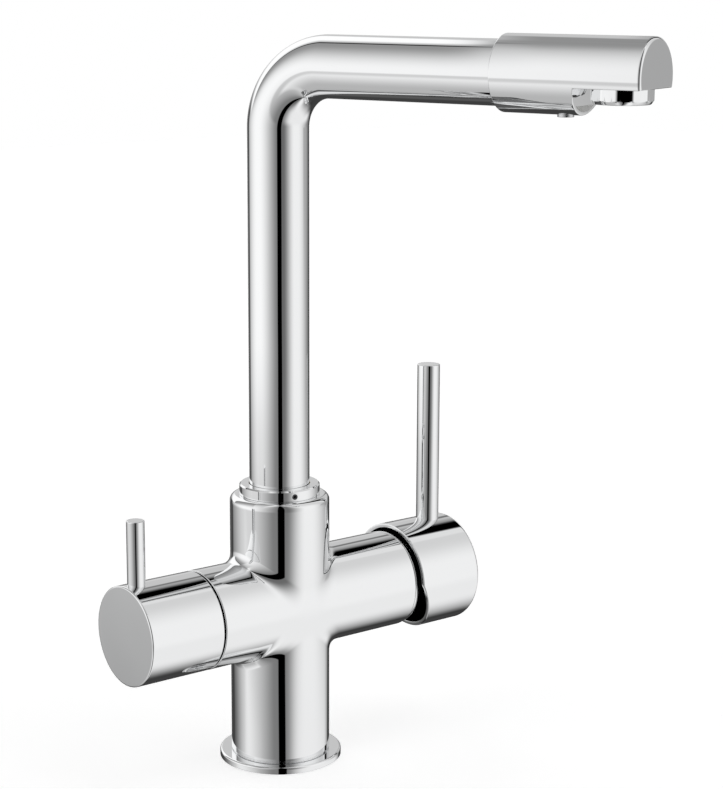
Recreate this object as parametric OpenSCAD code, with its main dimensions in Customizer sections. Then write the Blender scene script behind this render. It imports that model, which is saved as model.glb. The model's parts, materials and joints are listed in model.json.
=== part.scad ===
// Three way filtered water tap: hot and cold mix at the knob on the right, filtered
// water is opened at the knob on the left, and both leave through one swivelling spout.
// Frame: origin on the worktop under the middle of the body, +Z up, +X along the
// cross arm towards the mixer knob, -Y to the front. All lengths are in millimetres.

/* [Base] */
// Diameter of the round flange on the worktop
flange_d = 57.5; // [53:0.5:64]
// Thickness of the flange
flange_t = 3.3; // [2.8:0.1:5]
// Radius of the flange's rounded rim
flange_edge_r = 0.9; // [0.4:0.1:1.3]

/* [Body] */
// Diameter of the upright body and neck
body_d = 46.4; // [45:0.2:50]
// Height of the neck's shoulder above the worktop
shoulder_z = 127.9; // [120:0.5:150]
// Radius of the rounded shoulder
shoulder_r = 3; // [1:0.2:3.4]
// Diameter of the cross arms
arm_d = 46.2; // [44.6:0.2:49.6]
// Height of the cross arms' axis
arm_z = 75; // [60:0.5:80]
// Length of the arm for filtered water, from the body's axis
filter_arm_l = 46.5; // [42:0.5:60]
// Length of the arm for mixed water, from the body's axis
mixer_arm_l = 64.5; // [60:0.5:76]

/* [Collar] */
// Diameter of the collar ring round the spout's foot
collar_d = 37.4; // [36.8:0.1:39]
// Height of the collar ring
collar_h = 5.1; // [4.8:0.1:7]
// Chamfer on the collar ring's top edge
collar_chamfer = 0.7; // [0.2:0.1:0.9]

/* [Spout] */
// Diameter of the spout tube
spout_d = 28; // [27:0.1:28.6]
// Wall of the spout tube
spout_wall = 1.2; // [0.9:0.1:2]
// Height of the spout's level axis above the worktop
spout_z = 325; // [260:1:380]
// Radius of the bend, on the tube's axis
bend_r = 28; // [24:0.5:45]
// Distance from the body's axis to the tip of the spout
spout_reach = 183.8; // [160:0.5:240]
// Turn of the spout at rest, from straight ahead towards the mixer knob
spout_rest_angle = 19.5; // [0:0.5:40]

/* [Spout head] */
// Diameter of the head
head_d = 32.8; // [32.2:0.1:36]
// Length of the head
head_l = 68.4; // [68:0.2:80]
// Wall of the head
head_wall = 1.4; // [1:0.1:1.6]
// Length of the cut-away under the tip
notch_l = 29.9; // [29.6:0.1:34]
// Height of the cut-away under the tip
notch_h = 11.7; // [11.2:0.1:12.4]
// Distance from the tip to the aerator's axis
aerator_inset = 15.1; // [14.6:0.1:15.6]
// Diameter over the corners of the aerator ring
aerator_d = 26.4; // [25.6:0.1:28]
// Height of the aerator ring below the head
aerator_h = 6.3; // [5:0.1:8]
// Distance from the tip to the filtered water nozzle's axis
nozzle_inset = 40.3; // [37.5:0.1:44]
// Diameter of the filtered water nozzle
nozzle_d = 7; // [6:0.1:8]
// Length of the nozzle that stands out below the head
nozzle_out = 0.9; // [0.5:0.1:3]

/* [Filter knob] */
// Diameter of the knob for filtered water
filter_knob_d = 46; // [44:0.2:50]
// Length of the knob for filtered water
filter_knob_l = 38.4; // [36:0.2:46]
// Diameter of its lever pin
filter_pin_d = 8.2; // [6:0.1:9]
// Length of its lever pin that shows above the knob
filter_pin_l = 29.6; // [20:0.2:50]
// Distance from the knob's end face to the lever pin's axis
filter_pin_inset = 6.5; // [6:0.1:7.6]

/* [Mixer knob] */
// Diameter of the mixer knob
mixer_knob_d = 52.8; // [51.6:0.2:56]
// Length of the mixer knob
mixer_knob_l = 35.4; // [34:0.2:42]
// Radius of the rounded edge at the knob's end
mixer_edge_r = 1.8; // [0.5:0.1:2.4]
// Gap between the arm and the mixer knob
mixer_gap = 2.3; // [1.8:0.1:3]
// Angle of the relief that lets the knob tip towards the body
relief_angle = 22; // [20:0.5:24]
// Diameter of its lever pin
mixer_pin_d = 11; // [8:0.2:11.4]
// Length of its lever pin that shows above the knob
mixer_pin_l = 77.1; // [50:0.5:100]
// Distance from the knob's end face to the lever pin's axis
mixer_pin_inset = 11.8; // [11.6:0.1:14]

/* [Hidden] */
$fn = 96;
// Clearances: pieces seated in each other, shafts that turn, and free moving faces
seat_gap = 0.05;
run_gap = 0.05;
free_gap = 0.3;
// How far a cutting shape runs past the face that it cuts
overrun = 1;
chrome = [0.82, 0.83, 0.85];
brass = [0.78, 0.66, 0.38];
rubber = [0.1, 0.1, 0.1];
ceramic = [0.93, 0.92, 0.9];
white_plastic = [0.9, 0.9, 0.88];
grey_plastic = [0.55, 0.56, 0.58];
steel = [0.62, 0.63, 0.65];

// Base: a seat on the flange leaves the thin shadow line under the body
seat_h = 0.6;
seat_step = 0.6;
body_z = flange_t + seat_h;
arm_edge = 0.4;
spigot_wall = 3.2;
spigot_r = body_d / 2 - spigot_wall;
seal_w = 2.6;
seal_t = 1.6;
seal_edge = 2.4;
seal_r = flange_d / 2 - seal_edge;

// Threaded sockets under the body for three hoses and one fixing stud
port_circle_r = 12.5;
port_at = port_circle_r / sqrt(2);
inlet_r = 4.5;
inlet_l = 12;
stud_r = 3.4;
stud_l = 18;

// Water ways drilled in the body
supply_r = 3;
filter_way_r = 2.5;
mixed_way_r = 3.2;
mixed_way_x = 8.5;
supply_drop = 5;
mixed_rise = 8;

// Neck: the bush of the spout turns in it, on a slip ring
bush_r = 15.95;
neck_bore_r = bush_r + run_gap;
neck_bore_l = 28;
neck_floor_z = shoulder_z - neck_bore_l;
stub_wall = 1;
stub_r = neck_bore_r + stub_wall;
lip_t = 0.6;
lip_gap = 0.3;
stub_top_z = shoulder_z + collar_h - lip_t - lip_gap;
slip_t = 0.9;
slip_w = 2.2;
bush_bottom_z = neck_floor_z + slip_t + 2 * seat_gap;
bush_top_z = stub_top_z;
bush_bore_r = 11.5;
tube_socket_l = 20;
tube_bottom_z = bush_top_z - tube_socket_l;
bush_ring_section = 1.6;
bush_ring_pitch = 4;
bush_ring_first = 2.4;

// Grub screw in the collar, whose tip runs in a groove of the bush
grub_angle = -14;
grub_r = 1.25;
grub_tip_r = 0.8;
grub_tip_l = 0.9;
grub_sink = 0.25;
grub_socket_af = 1.3;
grub_socket_l = 1.2;
grub_drop = 0.25;
groove_depth = 0.9;
grub_z = shoulder_z + collar_h / 2 - grub_drop;
groove_r = bush_r - groove_depth;
swivel_half = 90;

// Spout
spout_r = spout_d / 2;
spout_bore_r = spout_r - spout_wall;
inner_tube_r = 4;
inner_tube_wall = 1;
inner_bore_r = inner_tube_r - inner_tube_wall;
head_r = head_d / 2;
head_x = spout_reach - head_l;
notch_x = spout_reach - notch_l;
notch_z = notch_h - head_r;
head_socket_l = 16;
socket_end_x = head_x + head_socket_l;
head_cavity_r = head_r - head_wall;
head_end_t = 2;
head_edge = 0.4;
floor_t = 1.6;
block_r = head_cavity_r - seat_gap;
block_x = socket_end_x + seat_gap;
block_end_x = spout_reach - head_end_t - seat_gap;
block_floor_z = notch_z + floor_t + seat_gap;
block_step_x = notch_x - floor_t - seat_gap;
way_r = 3.2;
way_y = 5.6;
way_z = 6.5;
aerator_x = spout_reach - aerator_inset;
aerator_thread_r = 11.55;
aerator_bore_r = 10;
aerator_hole_r = aerator_thread_r + seat_gap;
aerator_thread_l = 5.7;
aerator_thread_z = notch_z + aerator_thread_l;
washer_t = 1.9;
washer_w = 2.3;
chamber_z = aerator_thread_z + washer_t + 2 * seat_gap;
chamber_r = 9;
chamber_rise = 0.4;
chamber_top_z = way_z + way_r + chamber_rise;
aerator_chamfer_h = 1.4;
aerator_chamfer_r = 0.9;
aerator_sides = 12;
aerator_turn = 10;
insert_sink = 0.6;
insert_l = 8.5;
insert_hole_r = 0.85;
insert_pitch = 2.55;
insert_rings = 3;
nozzle_x = spout_reach - nozzle_inset;
nozzle_r = nozzle_d / 2;
nozzle_bore_r = 2;
nozzle_in = 6.3;
nozzle_top_z = nozzle_in - head_r;
block_socket_l = 8;
block_socket_x = block_x + block_socket_l;

// Spigot that carries filtered water from the body into the inner tube
spigot_pipe_r = inner_bore_r - run_gap;
spigot_pipe_bore_r = 1.9;
spigot_sunk = 8;
spigot_up = 13;
spigot_seal_section = 0.8;
spigot_seal_first = 4;
spigot_seal_pitch = 3;
inner_tube_foot = 1.5;

// Valve for filtered water, stacked from the pocket's floor outwards
filter_pocket_r = 13;
filter_pocket_l = 22.5;
filter_floor_x = filter_arm_l - filter_pocket_l;
filter_port_r = 2.5;
valve_port_y = 6.8;
valve_seal_t = 1.2;
valve_r = filter_pocket_r - seat_gap;
valve_x = filter_floor_x + valve_seal_t + seat_gap;
valve_wall = 2.4;
valve_cavity_r = valve_r - valve_wall;
valve_disc_t = 4;
valve_disc_gap = 0.05;
turning_disc_x = valve_x + valve_disc_t + 2 * valve_disc_gap;
carrier_x = turning_disc_x + valve_disc_t + valve_disc_gap;
filter_carrier_t = 3;
carrier_end_x = carrier_x + filter_carrier_t;
valve_end_t = 4;
valve_end_x = carrier_end_x + free_gap + valve_end_t;
valve_nut_bore_r = 8;
spindle_r = 4;
spindle_seal_section = 1.1;
spindle_seal_back = 1.6;
spindle_out = 14;
nut_edge_gap = 0.1;

// Knob for filtered water
filter_seam = 0.8;
filter_knob_r = filter_knob_d / 2;
filter_knob_x = filter_arm_l + filter_seam;
filter_end_x = filter_knob_x + filter_knob_l;
filter_knob_wall = 2.4;
filter_edge = 0.4;
filter_boss_r = 8;
filter_boss_back = 3;
filter_pin_r = filter_pin_d / 2;
filter_pin_x = filter_end_x - filter_pin_inset;
filter_pin_boss_wall = 2;
pin_sink = 4;
pin_stud_l = 9;
filter_pin_stud_r = 2.5;
pin_edge = 0.4;
knob_screw_r = 2;
knob_screw_l = 4.6;
knob_screw_gap = 0.1;
knob_screw_socket_r = 1;
knob_screw_socket_l = 2;
knob_screw_way_r = 2.3;
knob_screw_inset = 4.5;

// Mixing cartridge, stacked from the pocket's floor outwards
mixer_pocket_r = 17.7;
mixer_pocket_l = 34;
mixer_floor_x = mixer_arm_l - mixer_pocket_l;
mixer_seal_t = 1;
cartridge_r = mixer_pocket_r - seat_gap;
cartridge_x = mixer_floor_x + mixer_seal_t + seat_gap;
cartridge_wall = 3.1;
cartridge_cavity_r = cartridge_r - cartridge_wall;
mixer_disc_t = 4.4;
mixer_disc_gap = 0.05;
fixed_disc_r = cartridge_cavity_r - seat_gap;
moving_disc_x = cartridge_x + mixer_disc_t + 2 * mixer_disc_gap;
moving_disc_t = 5;
turn_x = moving_disc_x + moving_disc_t + free_gap;
pivot_rise = 8.7;
pivot_x = turn_x + pivot_rise;
turn_over = 2;
turn_end_x = pivot_x + turn_over;
turn_slot_z = 6;
tilt_max = 20;
finger_l = 11;
finger_tip_r = 1.9;
finger_r = 1.2;
finger_hole_gap = 0.15;
finger_hole_l = 4;
disc_travel = finger_l * sin(tilt_max);
moving_disc_r = cartridge_cavity_r - disc_travel - free_gap;
stem_r = 3.5;
hub_r = 4.5;
pivot_pin_r = 1.25;
cartridge_end_t = 5;
cartridge_end_x = turn_end_x + free_gap + cartridge_end_t;
cartridge_mouth_r = 7.6;
mixer_nut_bore_r = 10.5;
mixer_nut_back = 1.5;
mixer_nut_end_x = mixer_arm_l - mixer_nut_back;

// Dome ring: its ball face is centred on the cartridge's pivot, so the knob clears it
dome_inset = 0.5;
dome_r = arm_d / 2 - dome_inset;
dome_seam = 0.3;
dome_x = mixer_arm_l + dome_seam;
dome_rim_l = 1.7;
dome_ball_r = sqrt(pow(dome_x + dome_rim_l - pivot_x, 2) + pow(dome_r, 2));
dome_wall = 1.5;
dome_mouth_r = 13.3;
dome_skirt_wall = 1.3;

// Mixer knob
mixer_knob_r = mixer_knob_d / 2;
mixer_knob_x = mixer_arm_l + mixer_gap;
mixer_end_x = mixer_knob_x + mixer_knob_l;
mixer_knob_wall = 2;
mixer_end_wall = 2.5;
relief_z = 1.5;
mixer_boss_r = 7;
mixer_boss_gap = 1.2;
mixer_boss_x = pivot_x + dome_ball_r + mixer_boss_gap;
stem_end_l = 6;
stem_end_x = mixer_end_x - mixer_end_wall - stem_end_l;
mixer_pin_r = mixer_pin_d / 2;
mixer_pin_x = mixer_end_x - mixer_pin_inset;
mixer_pin_boss_wall = 2.4;
mixer_pin_stud_r = 3;
mixer_screw_inset = 3.4;

// A round bar along X between two places
module bar_x(r, x0, x1) {
  translate([x0, 0, 0])
    rotate([0, 90, 0])
      cylinder(r = r, h = x1 - x0);
}

// A round bar along Z between two heights
module bar_z(r, z0, z1) {
  translate([0, 0, z0])
    cylinder(r = r, h = z1 - z0);
}

// A ring along X, open right through
module ring_x(r, bore, x0, x1) {
  difference() {
    bar_x(r, x0, x1);
    bar_x(bore, x0 - overrun, x1 + overrun);
  }
}

// A ring along Z, open right through
module ring_z(r, bore, z0, z1) {
  difference() {
    bar_z(r, z0, z1);
    bar_z(bore, z0 - overrun, z1 + overrun);
  }
}

// A round rubber ring about Z, with its outer edge at r
module o_ring(r, section, z) {
  translate([0, 0, z])
    rotate_extrude()
      translate([r - section / 2, 0])
        circle(d = section, $fn = 24);
}

// A bar along X whose far edge is rounded with radius edge
module rounded_bar_x(r, x0, x1, edge) {
  translate([x0, 0, 0])
    rotate([0, 90, 0])
      rotate_extrude()
        union() {
          square([r, x1 - x0 - edge]);
          square([r - edge, x1 - x0]);
          translate([r - edge, x1 - x0 - edge])
            circle(r = edge, $fn = 32);
        }
}

// A bar along Z with a chamfer of size edge at its top
module chamfered_bar_z(r, z0, z1, edge) {
  bar_z(r, z0, z1 - edge);
  translate([0, 0, z1 - edge])
    cylinder(r1 = r, r2 = r - edge, h = edge);
}

// A bar along X with a chamfer of size edge at its far end
module chamfered_bar_x(r, x0, x1, edge) {
  bar_x(r, x0, x1 - edge);
  translate([x1 - edge, 0, 0])
    rotate([0, 90, 0])
      cylinder(r1 = r, r2 = r - edge, h = edge);
}

// Places a shape that is drawn along +X onto the arms' axis
module on_mixer_arm() {
  translate([0, 0, arm_z])
    children();
}

// The same for the arm of filtered water, whose outward way is -X
module on_filter_arm() {
  translate([0, 0, arm_z])
    mirror([1, 0, 0])
      children();
}

// Places a shape that is drawn along +X onto the spout's level axis
module on_spout() {
  rotate([0, 0, spout_rest_angle - 90])
    translate([0, 0, spout_z])
      children();
}

// The outline that a round pipe of radius r takes through the spout's bend
module spout_run(r, foot_z, end_x) {
  on_spout() {
    bar_z(r, foot_z - spout_z, -bend_r);
    bar_x(r, bend_r, end_x);
    translate([bend_r, 0, -bend_r])
      rotate([90, 0, 0])
        rotate([0, 0, 90])
          rotate_extrude(angle = 90)
            translate([bend_r, 0])
              circle(r = r);
  }
}

// Base
module base_flange() {
  color(chrome)
    difference() {
      union() {
        rotate_extrude()
          union() {
            square([flange_d / 2 - flange_edge_r, flange_t]);
            square([flange_d / 2, flange_t - flange_edge_r]);
            translate([flange_d / 2 - flange_edge_r, flange_t - flange_edge_r])
              circle(r = flange_edge_r, $fn = 32);
          }
        bar_z(body_d / 2 - seat_step, 0, body_z - seat_gap);
      }
      bar_z(spigot_r + seat_gap, -overrun, body_z + overrun);
      ring_z(seal_r, seal_r - seal_w, -overrun, seal_t);
    }
}

module deck_seal() {
  color(rubber)
    ring_z(seal_r - seat_gap, seal_r - seal_w + seat_gap, 0, seal_t - seat_gap);
}

// Body: one casting with its pockets, water ways and threaded sockets
module body_outside() {
  translate([0, 0, body_z])
    rotate_extrude()
      union() {
        square([body_d / 2, shoulder_z - body_z - shoulder_r]);
        square([body_d / 2 - shoulder_r, shoulder_z - body_z]);
        translate([body_d / 2 - shoulder_r, shoulder_z - body_z - shoulder_r])
          circle(r = shoulder_r, $fn = 64);
      }
  bar_z(spigot_r, 0, body_z + overrun);
  bar_z(stub_r, shoulder_z - overrun, stub_top_z);
  on_mixer_arm() {
    chamfered_bar_x(arm_d / 2, 0, mixer_arm_l, arm_edge);
    mirror([1, 0, 0])
      chamfered_bar_x(arm_d / 2, 0, filter_arm_l, arm_edge);
  }
}

module threaded_socket(x_side, y_side, r, l) {
  translate([x_side * port_at, y_side * port_at, 0])
    bar_z(r, -overrun, l);
}

module hot_cold_way(y_side) {
  threaded_socket(1, y_side, inlet_r, inlet_l);
  translate([port_at, y_side * port_at, 0])
    bar_z(supply_r, 0, arm_z - supply_drop);
  translate([0, y_side * port_at, arm_z - supply_drop])
    bar_x(supply_r, port_at, mixer_floor_x + overrun);
}

module filter_way() {
  threaded_socket(-1, 1, inlet_r, inlet_l);
  translate([-port_at, port_at, 0])
    bar_z(filter_way_r, 0, arm_z);
  translate([0, valve_port_y, arm_z])
    bar_x(filter_port_r, -filter_floor_x - overrun, -port_at);
  translate([0, 0, arm_z])
    bar_x(inner_bore_r, -filter_floor_x - overrun, 0);
  bar_z(inner_bore_r, arm_z, neck_floor_z + overrun);
}

module mixed_way() {
  translate([0, 0, arm_z + mixed_rise])
    bar_x(mixed_way_r, mixed_way_x, mixer_floor_x + overrun);
  translate([mixed_way_x, 0, 0])
    bar_z(mixed_way_r, arm_z + mixed_rise, neck_floor_z + overrun);
}

module grub_place() {
  rotate([0, 0, grub_angle - 90])
    translate([0, 0, grub_z])
      children();
}

module tap_body() {
  color(chrome)
    difference() {
      body_outside();
      bar_z(neck_bore_r, neck_floor_z, stub_top_z + overrun);
      on_filter_arm()
        bar_x(filter_pocket_r, filter_floor_x, filter_arm_l + overrun);
      on_mixer_arm()
        bar_x(mixer_pocket_r, mixer_floor_x, mixer_arm_l + overrun);
      hot_cold_way(1);
      hot_cold_way(-1);
      filter_way();
      mixed_way();
      threaded_socket(-1, -1, stud_r, stud_l);
      grub_place()
        bar_x(grub_r + seat_gap, 0, stub_r + overrun);
    }
}

// Collar
module collar_ring() {
  color(chrome)
    difference() {
      chamfered_bar_z(collar_d / 2, shoulder_z, shoulder_z + collar_h, collar_chamfer);
      bar_z(stub_r + seat_gap, shoulder_z - overrun, shoulder_z + collar_h - lip_t);
      bar_z(spout_r + free_gap, shoulder_z, shoulder_z + collar_h + overrun);
      grub_place()
        bar_x(grub_r + seat_gap, 0, collar_d);
    }
}

module collar_grub_screw() {
  tip_x = groove_r + free_gap;
  head_end = collar_d / 2 - grub_sink;
  color(steel)
    grub_place()
      difference() {
        union() {
          bar_x(grub_tip_r, tip_x, head_end);
          bar_x(grub_r, tip_x + grub_tip_l, head_end);
        }
        translate([head_end - grub_socket_l, 0, 0])
          rotate([0, 90, 0])
            cylinder(d = grub_socket_af / cos(30), h = grub_socket_l + overrun, $fn = 6);
      }
}

// Spout
module spout_tube() {
  color(chrome)
    difference() {
      spout_run(spout_r, tube_bottom_z, socket_end_x - seat_gap);
      spout_run(spout_bore_r, tube_bottom_z - overrun, socket_end_x + overrun);
    }
}

// The groove is a part of a turn, so the grub screw's tip stops the swivel at both ends
module swivel_groove() {
  margin = asin((grub_tip_r + free_gap) / groove_r);
  span = 2 * (swivel_half + margin);
  rotate([0, 0, grub_angle - 90 - swivel_half - margin + spout_rest_angle])
    rotate_extrude(angle = span)
      translate([groove_r, grub_z - grub_tip_r - free_gap])
        square([bush_r - groove_r + overrun, 2 * (grub_tip_r + free_gap)]);
}

module spout_bush() {
  color(brass)
    difference() {
      bar_z(bush_r, bush_bottom_z, bush_top_z);
      bar_z(bush_bore_r, bush_bottom_z - overrun, bush_top_z);
      bar_z(spout_r + seat_gap, tube_bottom_z - seat_gap, bush_top_z + overrun);
      for (i = [0, 1])
        ring_z(bush_r + overrun, bush_r - bush_ring_section - seat_gap,
               bush_ring_z(i) - bush_ring_section / 2 - seat_gap,
               bush_ring_z(i) + bush_ring_section / 2 + seat_gap);
      swivel_groove();
    }
}

function bush_ring_z(i) = bush_bottom_z + bush_ring_first + i * bush_ring_pitch;

module spout_o_rings() {
  color(rubber)
    for (i = [0, 1])
      o_ring(bush_r, bush_ring_section, bush_ring_z(i));
}

module spout_slip_ring() {
  color(white_plastic)
    ring_z(neck_bore_r - run_gap, neck_bore_r - run_gap - slip_w,
           neck_floor_z + seat_gap, neck_floor_z + seat_gap + slip_t);
}

// Spout head: a shell with the cut-away under its tip
module notch_cut(x, z) {
  translate([x, -head_d, z - head_d])
    cube([head_l, 2 * head_d, head_d]);
}

module spout_head() {
  color(chrome)
    on_spout()
      difference() {
        chamfered_bar_x(head_r, head_x, spout_reach, head_edge);
        notch_cut(notch_x, notch_z);
        bar_x(spout_r + seat_gap, head_x - overrun, socket_end_x + overrun);
        difference() {
          bar_x(head_cavity_r, socket_end_x, spout_reach - head_end_t);
          notch_cut(notch_x - floor_t, notch_z + floor_t);
        }
        translate([aerator_x, 0, 0])
          bar_z(aerator_hole_r, notch_z - overrun, notch_z + floor_t + overrun);
        translate([nozzle_x, 0, 0])
          bar_z(nozzle_r + seat_gap, -head_r - overrun, nozzle_top_z);
      }
}

module outlet_block() {
  color(white_plastic)
    on_spout()
      difference() {
        bar_x(block_r, block_x, block_end_x);
        notch_cut(block_step_x, block_floor_z);
        translate([aerator_x, 0, 0]) {
          bar_z(aerator_hole_r, block_floor_z - overrun, chamber_z);
          bar_z(chamber_r, notch_z, chamber_top_z);
        }
        for (side = [-1, 1])
          translate([0, side * way_y, way_z])
            bar_x(way_r, block_x - overrun, aerator_x);
        bar_x(inner_tube_r + seat_gap, block_x - overrun, block_socket_x);
        bar_x(inner_bore_r, block_x, nozzle_x + nozzle_r);
        translate([nozzle_x, 0, 0]) {
          bar_z(nozzle_bore_r, nozzle_top_z - overrun, 0);
          bar_z(nozzle_r + seat_gap, -head_r - overrun, nozzle_top_z + seat_gap);
        }
      }
}

module at_aerator() {
  on_spout()
    translate([aerator_x, 0, notch_z - seat_gap])
      children();
}

module aerator_housing() {
  face_h = aerator_h - aerator_chamfer_h;
  color(chrome)
    at_aerator()
      difference() {
        union() {
          bar_z(aerator_thread_r, -face_h, aerator_thread_l);
          translate([0, 0, -face_h])
            rotate([0, 0, aerator_turn])
              cylinder(d = aerator_d, h = face_h, $fn = aerator_sides);
          translate([0, 0, -aerator_h])
            cylinder(r1 = aerator_rim_r() - aerator_chamfer_r, r2 = aerator_rim_r(), h = aerator_chamfer_h);
        }
        bar_z(aerator_bore_r, -aerator_h - overrun, aerator_thread_l + overrun);
      }
}

// Radius of the circle inside the aerator ring's flats
function aerator_rim_r() = aerator_d / 2 * cos(180 / aerator_sides);

module aerator_insert() {
  foot_z = insert_sink - aerator_h;
  color(grey_plastic)
    at_aerator()
      difference() {
        bar_z(aerator_bore_r - seat_gap, foot_z, foot_z + insert_l);
        bar_z(insert_hole_r, foot_z - overrun, foot_z + insert_l + overrun);
        for (ring = [1 : insert_rings])
          for (i = [0 : 6 * ring - 1])
            rotate([0, 0, i * 60 / ring])
              translate([ring * insert_pitch, 0, 0])
                bar_z(insert_hole_r, foot_z - overrun, foot_z + insert_l + overrun);
      }
}

module aerator_washer() {
  color(rubber)
    at_aerator()
      ring_z(aerator_thread_r, aerator_thread_r - washer_w,
             aerator_thread_l + 2 * seat_gap, aerator_thread_l + 2 * seat_gap + washer_t);
}

module filter_nozzle() {
  color(steel)
    on_spout()
      translate([nozzle_x, 0, 0])
        ring_z(nozzle_r, nozzle_bore_r, -head_r - nozzle_out, nozzle_top_z);
}

module filter_inner_tube() {
  color(white_plastic)
    difference() {
      spout_run(inner_tube_r, neck_floor_z + inner_tube_foot, block_socket_x - seat_gap);
      spout_run(inner_bore_r, neck_floor_z, block_socket_x + overrun);
    }
}

// Spigot on the body's axis, on which the inner tube turns with the spout
module filter_spigot() {
  color(brass)
    difference() {
      ring_z(spigot_pipe_r, spigot_pipe_bore_r, neck_floor_z - spigot_sunk, neck_floor_z + spigot_up);
      for (i = [0, 1])
        ring_z(spigot_pipe_r + overrun, spigot_pipe_r - spigot_seal_section - seat_gap,
               spigot_seal_z(i) - spigot_seal_section / 2 - seat_gap,
               spigot_seal_z(i) + spigot_seal_section / 2 + seat_gap);
    }
}

function spigot_seal_z(i) = neck_floor_z + spigot_seal_first + i * spigot_seal_pitch;

module filter_spigot_seals() {
  color(rubber)
    for (i = [0, 1])
      o_ring(spigot_pipe_r, spigot_seal_section, spigot_seal_z(i));
}

// Valve for filtered water
module filter_ports(x0, x1) {
  bar_x(inner_bore_r, x0, x1);
  translate([0, valve_port_y, 0])
    bar_x(filter_port_r, x0, x1);
}

module filter_valve_seal() {
  color(rubber)
    on_filter_arm()
      difference() {
        bar_x(valve_r, filter_floor_x, filter_floor_x + valve_seal_t);
        filter_ports(filter_floor_x - overrun, filter_floor_x + valve_seal_t + overrun);
      }
}

module filter_valve_body() {
  color(brass)
    on_filter_arm()
      difference() {
        bar_x(valve_r, valve_x, valve_end_x);
        bar_x(valve_cavity_r, valve_x - overrun, carrier_end_x + free_gap);
        bar_x(spindle_r + run_gap, valve_x, valve_end_x + overrun);
      }
}

module filter_valve_nut() {
  color(brass)
    on_filter_arm()
      ring_x(valve_r, valve_nut_bore_r, valve_end_x + seat_gap, filter_arm_l - nut_edge_gap);
}

module filter_disc_fixed() {
  color(ceramic)
    on_filter_arm()
      difference() {
        bar_x(valve_cavity_r - seat_gap, valve_x + valve_disc_gap, valve_x + valve_disc_gap + valve_disc_t);
        filter_ports(valve_x - overrun, valve_x + valve_disc_t + overrun);
      }
}

// One slot joins the two ports when the disc has turned by a quarter turn
module filter_disc_turning() {
  color(ceramic)
    on_filter_arm()
      difference() {
        bar_x(valve_cavity_r - free_gap, turning_disc_x, turning_disc_x + valve_disc_t);
        translate([turning_disc_x - overrun, -filter_port_r, -valve_port_y])
          cube([overrun + valve_disc_t / 2, 2 * filter_port_r, valve_port_y]);
        translate([0, 0, -valve_port_y])
          bar_x(filter_port_r, turning_disc_x - overrun, turning_disc_x + valve_disc_t / 2);
      }
}

module filter_spindle() {
  end_x = filter_arm_l + spindle_out;
  seal_x = valve_end_x - spindle_seal_back;
  color(brass)
    on_filter_arm()
      difference() {
        union() {
          bar_x(valve_cavity_r - free_gap, carrier_x, carrier_end_x);
          bar_x(spindle_r, carrier_x, end_x);
        }
        ring_x(spindle_r + overrun, spindle_r - spindle_seal_section - seat_gap,
               seal_x - spindle_seal_section / 2 - seat_gap,
               seal_x + spindle_seal_section / 2 + seat_gap);
      }
}

module filter_spindle_seal() {
  color(rubber)
    on_filter_arm()
      translate([valve_end_x - spindle_seal_back, 0, 0])
        rotate([0, 90, 0])
          o_ring(spindle_r, spindle_seal_section, 0);
}

// A hollow knob: an end wall, a skirt, a boss for the spindle and one for the lever pin
module filter_knob() {
  screw_x = filter_knob_x + filter_boss_back + knob_screw_inset;
  color(chrome)
    on_filter_arm()
      difference() {
        chamfered_bar_x(filter_knob_r, filter_knob_x, filter_end_x, filter_edge);
        difference() {
          bar_x(filter_knob_r - filter_knob_wall, filter_knob_x - overrun, filter_end_x - filter_knob_wall);
          bar_x(filter_boss_r, filter_knob_x + filter_boss_back, filter_end_x);
          translate([filter_pin_x, 0, 0])
            bar_z(filter_pin_r + filter_pin_boss_wall, 0, filter_knob_r);
        }
        bar_x(spindle_r + seat_gap, filter_knob_x - overrun, filter_arm_l + spindle_out + seat_gap);
        translate([filter_pin_x, 0, 0]) {
          bar_z(filter_pin_r + seat_gap, filter_knob_r - pin_sink - seat_gap, filter_knob_d);
          bar_z(filter_pin_stud_r + seat_gap, filter_knob_r - pin_sink - pin_stud_l - seat_gap,
                filter_knob_r);
        }
        translate([screw_x, 0, 0]) {
          bar_z(knob_screw_r + seat_gap, -filter_boss_r - overrun, 0);
          bar_z(knob_screw_way_r, -filter_knob_d, -filter_boss_r);
        }
      }
}

// A lever pin with its threaded stud, standing on a knob of radius knob_r
module lever_pin(x, knob_r, pin_r, pin_l, stud_r) {
  translate([x, 0, 0]) {
    chamfered_bar_z(pin_r, knob_r - pin_sink, knob_r + pin_l, pin_edge);
    bar_z(stud_r, knob_r - pin_sink - pin_stud_l, knob_r);
  }
}

module filter_lever_pin() {
  color(chrome)
    on_filter_arm()
      lever_pin(filter_pin_x, filter_knob_r, filter_pin_r, filter_pin_l, filter_pin_stud_r);
}

// A grub screw below the axis, which bites on a shaft of radius shaft_r
module knob_screw(x, shaft_r) {
  top_z = -shaft_r - knob_screw_gap;
  translate([x, 0, 0])
    difference() {
      bar_z(knob_screw_r, top_z - knob_screw_l, top_z);
      translate([0, 0, top_z - knob_screw_l - overrun])
        cylinder(r = knob_screw_socket_r, h = overrun + knob_screw_socket_l, $fn = 6);
    }
}

module filter_knob_screw() {
  color(steel)
    on_filter_arm()
      knob_screw(filter_knob_x + filter_boss_back + knob_screw_inset, spindle_r);
}

// Mixing cartridge
module mixer_ports(x0, x1) {
  for (side = [-1, 1])
    translate([0, side * port_at, -supply_drop])
      bar_x(supply_r, x0, x1);
  translate([0, 0, mixed_rise])
    bar_x(mixed_way_r, x0, x1);
}

module mixer_base_seal() {
  color(rubber)
    on_mixer_arm()
      difference() {
        bar_x(cartridge_r, mixer_floor_x, mixer_floor_x + mixer_seal_t);
        mixer_ports(mixer_floor_x - overrun, mixer_floor_x + mixer_seal_t + overrun);
      }
}

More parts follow.
